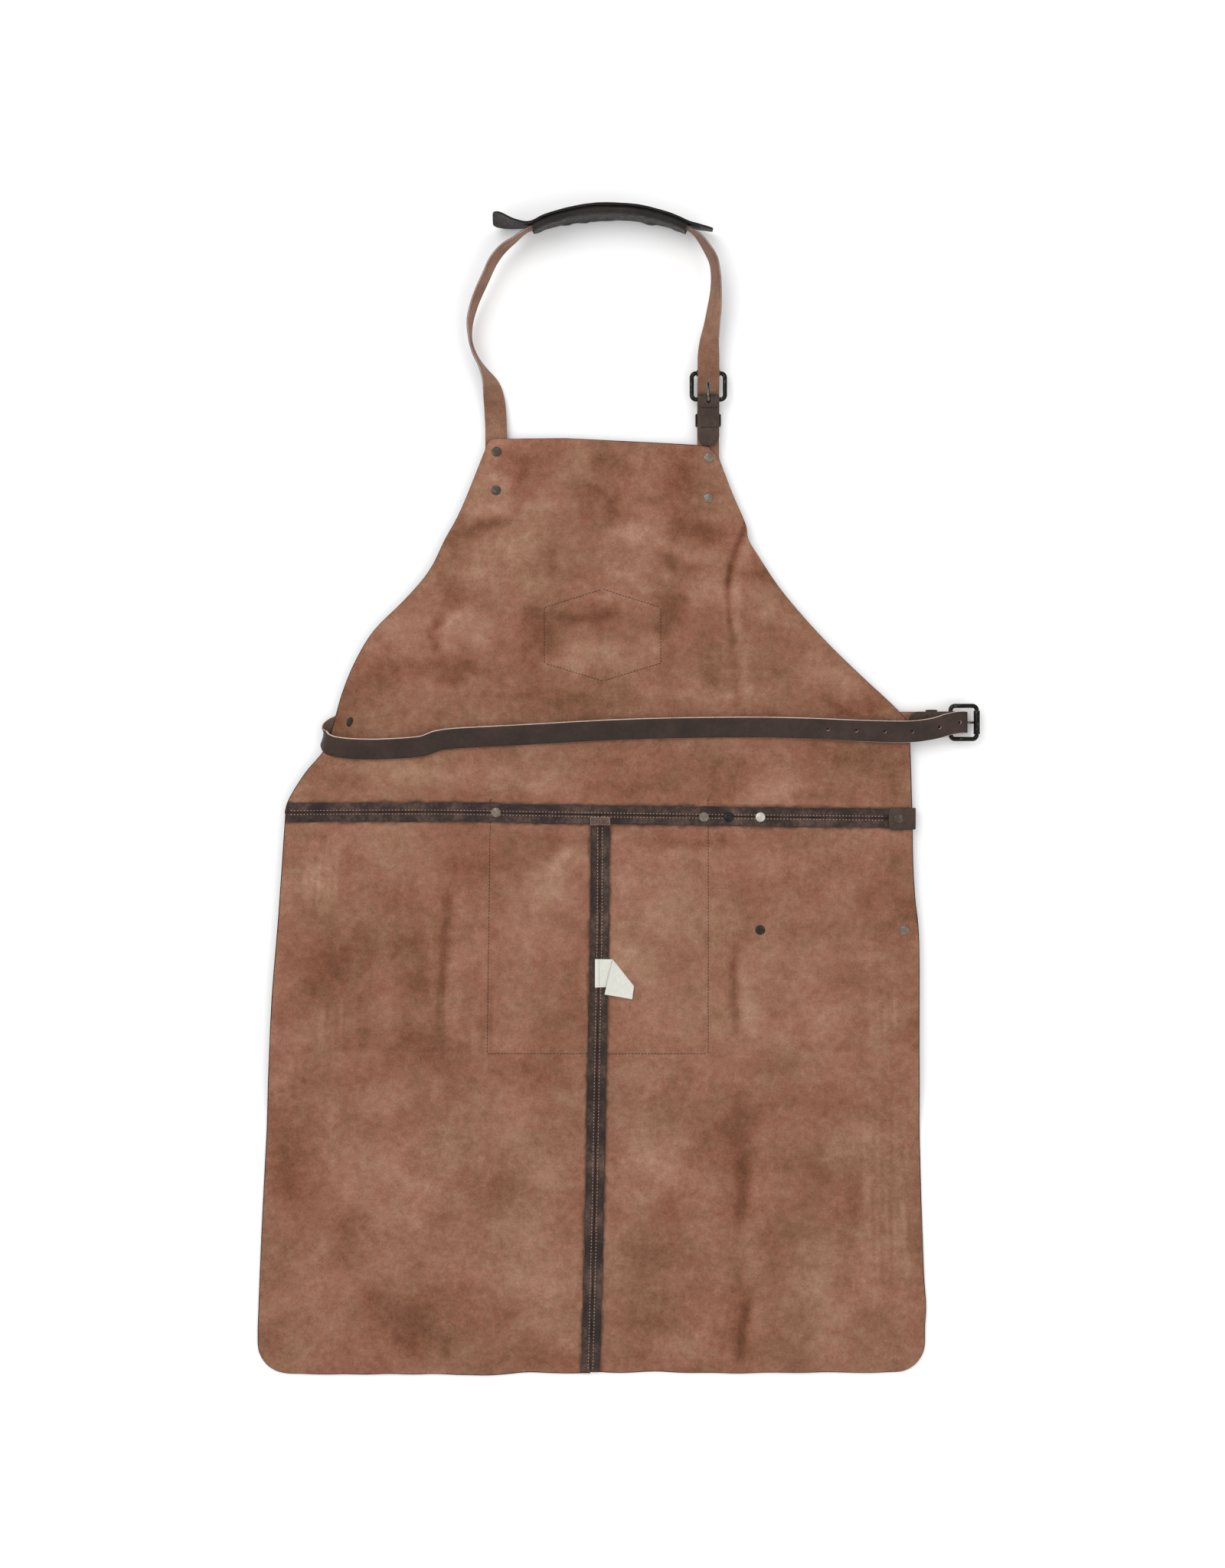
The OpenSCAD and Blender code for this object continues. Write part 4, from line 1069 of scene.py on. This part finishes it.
def keeper(buckle, grain, edge, x, width):
    """A narrow loop round the long layer and the strap's tail, closed underneath."""
    outer_y, high, low = STRAP_W / 2 + 0.3 + KEEPER_T / 2, LIFT + KEEPER_T / 2, KEEPER_T / 2 + 0.05
    corner = 1.6
    loop = [(0.2, low)]
    right, left, floor, roof = outer_y - corner, -outer_y + corner, low + corner, high - corner
    for k, centre in enumerate(((right, floor), (right, roof), (left, roof), (left, floor))):
        loop += arc(centre, corner, 90 * k - 90, 90 * k, 3)
    loop += [(-0.2, low)]
    rows = [(*buckle.at(x, y, z), buckle.cos, buckle.sin, 0) for y, z in loop]
    strap(buckle.name + "_keeper_leather", rows, (grain, grain, edge), "apron", "grain_leather",
          [buckle.name + "_keeper"], width=width, thickness=KEEPER_T, step=1.2, columns=6)


def revolve(profile, centre, axis, side, steps=40):
    """Points and faces of a closed profile of (along, radius), turned about an axis through centre."""
    axis, side = np.array(axis, float), np.array(side, float)
    third = np.cross(axis, side)
    points, faces = [], []
    n = len(profile)
    for k in range(steps):
        angle = FULL * k / steps
        spoke = side * math.cos(angle) + third * math.sin(angle)
        points += [np.array(centre) + axis * a + spoke * r for a, r in profile]
    for k in range(steps):
        a, b = k * n, (k + 1) % steps * n
        faces += [(a + i, b + i, b + (i + 1) % n, a + (i + 1) % n) for i in range(n)]
    return points, faces


def steel_part(buckle, part, kind, shape, metal):
    """A turning part of a buckle, on its own body."""
    points, faces = shape
    add_mesh(f"{buckle.name}_{part}_{kind}", points, faces, [metal], [0] * len(faces),
             f"{buckle.name}_{part}", [f"{buckle.name}_buckle_{part}"])


def roller(buckle, metal):
    """A rolled tube that turns on the front bar, its ends rounded in."""
    half, inner = ROLLER_L / 2, 1.55
    end = [(0.6, inner), (0.1, inner + 0.3), (0, inner + 0.7), (0.15, ROLLER_R - 0.25), (0.6, ROLLER_R)]
    profile = [(-half + x, r) for x, r in end] + [(0, ROLLER_R - 0.04)]
    profile += [(half - x, r) for x, r in end[::-1]]
    steel_part(buckle, "roller", "tube",
               revolve(profile, buckle.at(BUCKLE_PITCH, 0, HEEL_Z), buckle.axis, (0, 0, 1)), metal)


def tube(line, radii, sides=14):
    """Points and faces of a round rod along a line of points, closed at both ends."""
    line = [np.array(p, float) for p in line]
    points, faces = [], []
    for k, p in enumerate(line):
        step = line[min(k + 1, len(line) - 1)] - line[max(k - 1, 0)]
        along = step / np.linalg.norm(step)
        flat = np.cross(along, (0, 0, 1.0)) if abs(along[2]) < 0.95 else np.cross(along, (0, 1.0, 0))
        flat = flat / np.linalg.norm(flat)
        rise = np.cross(flat, along)
        for n in range(sides):
            angle = FULL * n / sides
            points.append(p + radii[k] * (flat * math.cos(angle) + rise * math.sin(angle)))
    for k in range(len(line) - 1):
        for n in range(sides):
            m = (n + 1) % sides
            faces.append((k * sides + n, k * sides + m, (k + 1) * sides + m, (k + 1) * sides + n))
    last = (len(line) - 1) * sides
    faces.append(tuple(range(sides))[::-1])
    faces.append(tuple(range(last, last + sides)))
    return points, faces


def prong(buckle, metal):
    """A prong bent round the heel bar, tapering to a blunt tip under the front bar."""
    ring = WIRE_R + 0.1
    profile = [(-1.5, ring), (-1.5, ring + 1.1), (-1.2, ring + 1.5), (1.2, ring + 1.5), (1.5, ring + 1.1),
               (1.5, ring)]
    eye = revolve(profile, buckle.at(0, 0, HEEL_Z), buckle.axis, (0, 0, 1), 28)
    tip_z = HEEL_Z - ROLLER_R - 1.3 - 0.3
    line = [(2.7, HEEL_Z - 1.1), (6, HEEL_Z - 1.5), (12, HEEL_Z - 2.4), (18, HEEL_Z - 3.3),
            (23, tip_z + 0.35), (25, tip_z + 0.1), (26, tip_z), (26.6, tip_z)]
    rod = tube([buckle.at(x, 0, z) for x, z in line], [1.3, 1.3, 1.28, 1.22, 1.15, 1.05, 0.85, 0.35])
    steel_part(buckle, "prong", "steel", joined([eye, rod]), metal)


# ---- rivets ----
def rivet(x, y, low, high, dome=1.0, squeeze=1.0, turn=0.0):
    """Both pressed caps and the post between them: low and high are the levels that the caps sit on."""
    cap = [(0.0, 0.93), (0.18, 1), (0.42, 0.985), (0.66 * dome, 0.9), (0.82 * dome, 0.74),
           (0.93 * dome, 0.48), (0.98 * dome, 0.22)]
    cap = [(a, CAP_R * share) for a, share in cap] + [(dome, 0.02)]
    post = 1.5
    upper = [(high, post)] + [(high + a, r) for a, r in cap]
    lower = [(low - a, r) for a, r in reversed(cap)] + [(low, post)]
    points, faces = revolve(lower + upper, (0, 0, 0), (0, 0, 1), (1, 0, 0), 32)
    cos, sin = math.cos(turn), math.sin(turn)
    placed = [(x + a * squeeze * cos - b * sin, y + a * squeeze * sin + b * cos, z) for a, b, z in points]
    return placed, faces


def rivets(name, nodes, items, slot="gunmetal", **form):
    """One piece from several rivets: (metal, place, low level, high level). form is what rivet() takes too."""
    shapes = [rivet(*spot, low, high, **form) for _, spot, low, high in items]
    points, faces = joined(shapes)
    metals = list(dict.fromkeys(metal for metal, *_ in items))
    indices = [metals.index(metal) for (metal, *_), shape in zip(items, shapes) for _ in shape[1]]
    return add_mesh(name, points, faces, metals, indices, "apron", nodes, crease=60)


def all_rivets(olive, grey, silver, black, brown):
    """Each sort of rivet: its metal, its places and the levels that its lower and upper caps sit on."""
    body_top = TOP_Z + 0.05
    rivets("bib_rivets", ["bib_rivet_caps", "bib_rivet_posts"],
           [(olive, p, UNDER_Z, body_top) for p in BIB_LEFT_RIVETS]
           + [(grey, p, UNDER_Z, body_top) for p in BIB_RIGHT_RIVETS])
    rivets("pocket_rivets", ["pocket_rivet_caps", "pocket_rivet_posts"],
           [(grey, p, LIFT - BODY_T, SEAM_Z) for p in POCKET_RIVETS], "rivet_steel")
    rivets("tool_strap_rivets", ["tool_strap_rivet_caps", "tool_strap_rivet_posts"],
           [(silver, TOOL_RIVET, UNDER_Z, SEAM_Z), (brown, TOOL_RIVETS_LOWER[0], UNDER_Z, body_top),
            (grey, TOOL_RIVETS_LOWER[1], UNDER_Z, body_top)], "rivet_steel")
    rivets("tool_strap_stud", ["tool_strap_stud_cap", "tool_strap_stud_post"],
           [(black, STUD, UNDER_Z, SEAM_Z)], dome=1.25)
    rivets("edge_rivet", ["edge_rivet_cap", "edge_rivet_post"],
           [(olive, EDGE_RIVET, UNDER_Z, SEAM_Z + 0.1 + STRAP_T)])
    rivets("belt_rivet", ["belt_rivet_cap", "belt_rivet_post"],
           [(brown, BELT_RIVET, UNDER_Z - 0.1, body_top)], squeeze=0.6, turn=math.radians(-18))
    rivets("waist_tab_rivets", ["waist_tab_rivet_caps", "waist_tab_rivet_posts"],
           [(olive, p, UNDER_Z, body_top) for p in WAIST_TAB_RIVETS])


# ---- pocket and chest patch, under the body ----
POCKET_X = (-108.5, 102.5)
POCKET_Y = (-222.5, 15.0)
POUCH_X = (-90.0, 84.0)
POUCH_Y = (-204.0, 15.0)


def pouch_drop(x, y):
    """0 on the sewn flange, 1 on the floor of the pouch."""
    inside = min(x - POUCH_X[0], POUCH_X[1] - x, y - POUCH_Y[0])
    return smooth(inside, -2, 9)


def front_pocket(grain, flesh, edge):
    """Sewn flat at three sides and standing off the body between them; open at the top."""
    width, height = POCKET_X[1] - POCKET_X[0], POCKET_Y[1] - POCKET_Y[0]
    across, along = stations(width, 3.5), stations(height, 3.5)
    grid = np.array([[(POCKET_X[0] + s, POCKET_Y[0] + t) for s in across] for t in along])

    def level(x, y):
        sewn = bed(x, y) - BODY_T - 0.05
        drop = pouch_drop(x, y)
        sag = 0.1 + 0.25 * (1 + waves(x, y, 40, 2.0))
        return sewn * (1 - drop) + sag * drop

    piece = lay_sheet("pocket_leather", grid, level, BODY_T, (flesh, grain, edge), "grain_leather",
                      ["front_pocket"], rings=1)
    return piece, (width * MM + 0.012, height * MM + 0.006)


def chest_patch(grain, flesh, edge):
    """A six-sided patch, sewn flat on the front."""
    left, right, low, high, tip_low, tip_high, mid = -56, 59, 137, 194, 118.5, 213, 1.6
    bottom = Line([(left, low), (mid, tip_low), (right, low)])
    upper = Line([(left, high), (mid, tip_high), (right, high)])
    sides = [Line([(x, low), (x, high)]) for x in (left, right)]
    across, along = stations(115, 3.5) / 115, stations(76, 3.5) / 76
    grid = coons(bottom, upper, *sides, across, along)
    return lay_sheet("chest_patch_leather", grid, lambda x, y: bed(x, y) - BODY_T - 0.05, BODY_T,
                     (flesh, grain, edge), "grain_leather", ["chest_patch"], rings=1)


def front_threads(thread):
    """The same seams as they show on the front."""
    lines = []
    for x in (-103, 98.6):
        lines.append([(x, y, bed(x, y) - BODY_T - 0.1) for y in np.linspace(12, -219, 60)])
    lines.append([(x, -219, bed(x, -219) - BODY_T - 0.1) for x in np.linspace(-103, 98.6, 60)])
    for a, b in zip(PATCH_SEAM, PATCH_SEAM[1:]):
        lines.append([(x, y, bed(x, y) - BODY_T - 0.1) for x, y in straight(a, b, 16)])
    return stitching("front_stitching", [(line, 3.0, 2.3, 0.3) for line in lines], thread)


# ---- care label ----
def care_label(satin, thread):
    """A satin strip sewn along the skirt seam and folded over on the slant."""
    start = [(-5.5, -132), (-5.5, -158)]
    crease = [(10.8, -132), (30.3, -156.5)]
    end = [(3.3, -164.1), (28.7, -168.7)]
    across = stations(30, 1.5, 0.4) / 30
    thick = 0.18

    def bed_at(x, y):
        """It lies on the seam's allowances and falls to the suede beside them."""
        over = 1 - smooth(x - seam_x(y), SEAM_W - 1, SEAM_W + 9)
        return top(x, y) + 0.35 + (SEAM_T + 0.15) * over

    rows = []
    for t in np.linspace(0, 1, 15):
        line = Line([np.add(np.multiply(a, 1 - t), np.multiply(b, t)) for a, b in zip(start, crease)])
        rows.append([(x, y, bed_at(x, y) + 0.4 * t + 0.35 * t * waves(x, y, 11, 3))
                     for x, y in line.at(across)])
    for t in np.linspace(0.012, 1, 18):
        line = Line([np.add(np.multiply(a, 1 - t), np.multiply(b, t)) for a, b in zip(crease, end)])
        rise = 0.65 + 0.7 * smooth(t, 0, 0.06) + 1.2 * t * t
        rows.append([(x, y, bed_at(x, y) + rise + 0.3 * waves(x, y, 11, 3)) for x, y in line.at(across)])
    upper = np.array(rows)
    lower = upper - np.array([0, 0, thick])
    # past the crease the strip's other face is up
    for i in range(15, len(rows)):
        upper[i], lower[i] = lower[i].copy(), upper[i].copy()
    piece = thick_sheet("label_satin_strip", upper, lower, (satin, satin, satin), "apron", "label_satin",
                        ["care_label"])
    sewn = [(-1.9, y, bed_at(-1.9, y) + 0.12) for y in np.linspace(-132.6, -157.6, 20)]
    stitching("label_stitching", [(sewn, 1.7, 1.25, 0.2)], thread)
    return piece


# ---- neck pad ----
def pad_row(radius, share):
    """A row on the pad's arc: at its sides it leans in at the top and stands out at the bottom."""
    a = math.radians(90 - PAD_HALF * share)
    x, y, lean = math.cos(a), math.sin(a), -0.15 * share * share
    radius += 4.8 * share * share
    return (PAD_CENTRE[0] + radius * x, PAD_CENTRE[1] + radius * y, PAD_H / 2, lean * x, lean * y, 1)


def pad_rows(radius, with_ends):
    """A layer of the pad on its edge: an arc round the nape, and on the back layer two free ends."""
    most = 1.0 if with_ends else 0.97
    rows = [pad_row(radius, share) for share in np.linspace(-most, most, 13)]
    if with_ends:
        z = PAD_H / 2
        left = [(-99, 545.8, z, -0.05, 0.24, 1), (-91.5, 544.6, z, -0.03, 0.13, 1),
                (-80, 541.6, z, 0, -0.03, 1)]
        right = [(89, 538.6, z, 0.02, -0.15, 1), (96, 537, z, 0, -0.16, 1), (102.5, 535.6, z, 0, -0.17, 1)]
        rows = left + rows + right
    return rows


def neck_pad(leather, edge):
    """The nape pad: a flat back layer and a sleeve gathered over the strap, with room to slide along it."""
    rows = pad_rows(PAD_R - BODY_T / 2, True)
    length = Line(catmull(rows)).length

    def ends(s):
        """Both ends are cut round; the right one runs out narrower."""
        left = 1 if s > 14 else 0.4 + 0.6 * math.sqrt(max(0.0, 1 - (1 - s / 14) ** 2))
        right = 1 if length - s > 24 else 0.5 + 0.5 * math.sqrt(max(0.0, 1 - (1 - (length - s) / 24) ** 2))
        return min(left, right)

    back = strap("pad_back_layer", rows, (leather, leather, edge), "neck_pad", "pad_leather",
                 ["neck_pad_base"], width=PAD_H, thickness=BODY_T, columns=14, width_at=ends,
                 offset=lambda s, w: 0.35 * waves(s, w, 21, 3.0) + 0.2 * waves(s, w, 8, 1.0))

    front_rows = pad_rows(PAD_R - BODY_T - 0.8, False)
    front_length = Line(catmull(front_rows)).length
    height = PAD_H - 7

    def gathered(s, w):
        """The sleeve is tight at its top edge and puckered along the lower one; its mouths open a bit."""
        share = abs(2 * w / height)
        mouth = 1.1 * math.exp(-min(s, front_length - s) / 9)
        bulge = (5.4 + mouth) * (1 - share ** 8)
        low = smooth(-w, height * 0.05, height / 2)
        pucker = 0.9 + 2.2 * waves(s, 0, 17, 4.0) + 1.5 * waves(s, 4, 7.5, 2.0)
        return bulge + low * max(0.0, pucker) + 0.4 * waves(s, w, 9, 6.0) + 0.3 * waves(s, w, 3.6, 1.5)

    front = strap("pad_front_layer", front_rows, (leather, leather, edge), "neck_pad", "pad_leather",
                  ["neck_pad_sleeve"], width=height, thickness=1.4, columns=22, step=1.6, offset=gathered)


# ---- build ----
def build():
    look_down()
    studio()
    lay_floor()

    suede = suede_paint()
    grain = leather_paint("grain_leather", (33, 22, 17), (46, 32, 25), (62, 46, 38))
    band_leather = leather_paint("seam_leather", (17, 10, 8), (45, 31, 26), (98, 77, 67), depth=0.0003,
                                 rough=(0.55, 0.8))
    front_grain = leather_paint("front_leather", (66, 44, 34), (88, 62, 50), (110, 82, 68))
    tab_leather = leather_paint("tab_leather", (37, 25, 18), (57, 42, 33), (78, 61, 50), grain=0.0015)
    pad_leather = leather_paint("pad_leather", (13, 11, 10), (25, 21, 19), (48, 38, 34), grain=0.0018,
                                depth=0.0004, rough=(0.38, 0.66))
    strap_flesh = flesh_paint("strap_flesh", (100, 68, 51), (125, 90, 70), (150, 114, 93))
    inner_flesh = flesh_paint("inner_flesh", (70, 52, 44), (92, 71, 61), (118, 94, 82))
    light_flesh = flesh_paint("turned_flesh", (68, 50, 42), (94, 74, 65), (138, 118, 108))
    edge_dark = flesh_paint("painted_edge", (38, 28, 25), (54, 42, 37), (80, 65, 59))
    edge_pink = flesh_paint("cut_edge", (170, 142, 130), (206, 180, 168), (226, 206, 196))
    edge_pale = flesh_paint("pale_edge", (112, 98, 92), (142, 128, 122), (168, 156, 150))
    edge_frayed = flesh_paint("frayed_edge", (34, 19, 15), (58, 36, 29), (118, 90, 78))
    edge_pad = flesh_paint("pad_edge", (10, 9, 9), (19, 17, 17), (52, 38, 35))
    gunmetal = metal_paint("gunmetal", (30, 29, 26), (76, 74, 67), rough=0.3, wear=0.54)
    olive = metal_paint("olive_steel", (70, 62, 54), (98, 90, 80), rough=0.5, metallic=0.7)
    grey = metal_paint("grey_steel", (108, 98, 88), (134, 124, 112), rough=0.5, metallic=0.6)
    silver = metal_paint("light_steel", (176, 170, 160), (202, 196, 186), rough=0.45, metallic=0.6)
    black = metal_paint("black_steel", (30, 30, 28), (58, 56, 50), rough=0.3, metallic=0.8)
    brown = metal_paint("brown_steel", (38, 30, 26), (66, 54, 46), rough=0.4, metallic=0.6)
    prong_steel = metal_paint("prong_steel", (96, 94, 86), (150, 147, 136), rough=0.32)
    satin = satin_paint()
    seam_thread = thread_paint("seam_thread", (128, 98, 80), (184, 152, 130))
    dark_thread = thread_paint("dark_thread", (38, 26, 20), (66, 46, 36))
    # near-black thread: its darkness is also painted shade of the stitch holes and pressed lines on the buckle
    # tabs
    black_thread = thread_paint("black_thread", (14, 10, 9), (32, 24, 20))
    label_thread = thread_paint("label_thread", (112, 114, 110), (150, 152, 148))

    bib_piece, bib_area = bib(suede, front_grain, edge_dark)
    left_piece, left_area = skirt(-1, suede, front_grain, edge_dark)
    right_piece, right_area = skirt(1, suede, front_grain, edge_dark)
    upper, lower_left, lower_right, skirt_left, skirt_right = seam_bands(band_leather, edge_frayed)
    seam_ends(light_flesh, edge_pink)
    seam_threads(seam_thread)
    needle_rows(dark_thread)

    pocket_piece, pocket_flat = front_pocket(front_grain, strap_flesh, edge_dark)
    patch_piece = chest_patch(front_grain, strap_flesh, edge_dark)
    front_threads(seam_thread)
    tool_straps(tab_leather, inner_flesh)
    label = care_label(satin, label_thread)

    neck_strap(strap_flesh, grain, edge_pale)
    neck_pad(pad_leather, edge_pad)
    belt(grain, inner_flesh, edge_pink)
    tab(NECK, tab_leather, strap_flesh, black_thread, length=100, tip=43)
    tab(WAIST_BUCKLE, tab_leather, strap_flesh, black_thread, length=95, tip=39)
    keeper(NECK, tab_leather, edge_dark, x=-18.5, width=11)
    keeper(WAIST_BUCKLE, tab_leather, edge_dark, x=-17, width=10)
    for buckle in (NECK, WAIST_BUCKLE):
        prong(buckle, prong_steel)
        roller(buckle, gunmetal)
        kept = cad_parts[buckle.name + "_buckle_frame"]
        kept.data.materials.clear()
        kept.data.materials.append(gunmetal)
    all_rivets(olive, grey, silver, black, brown)


build()
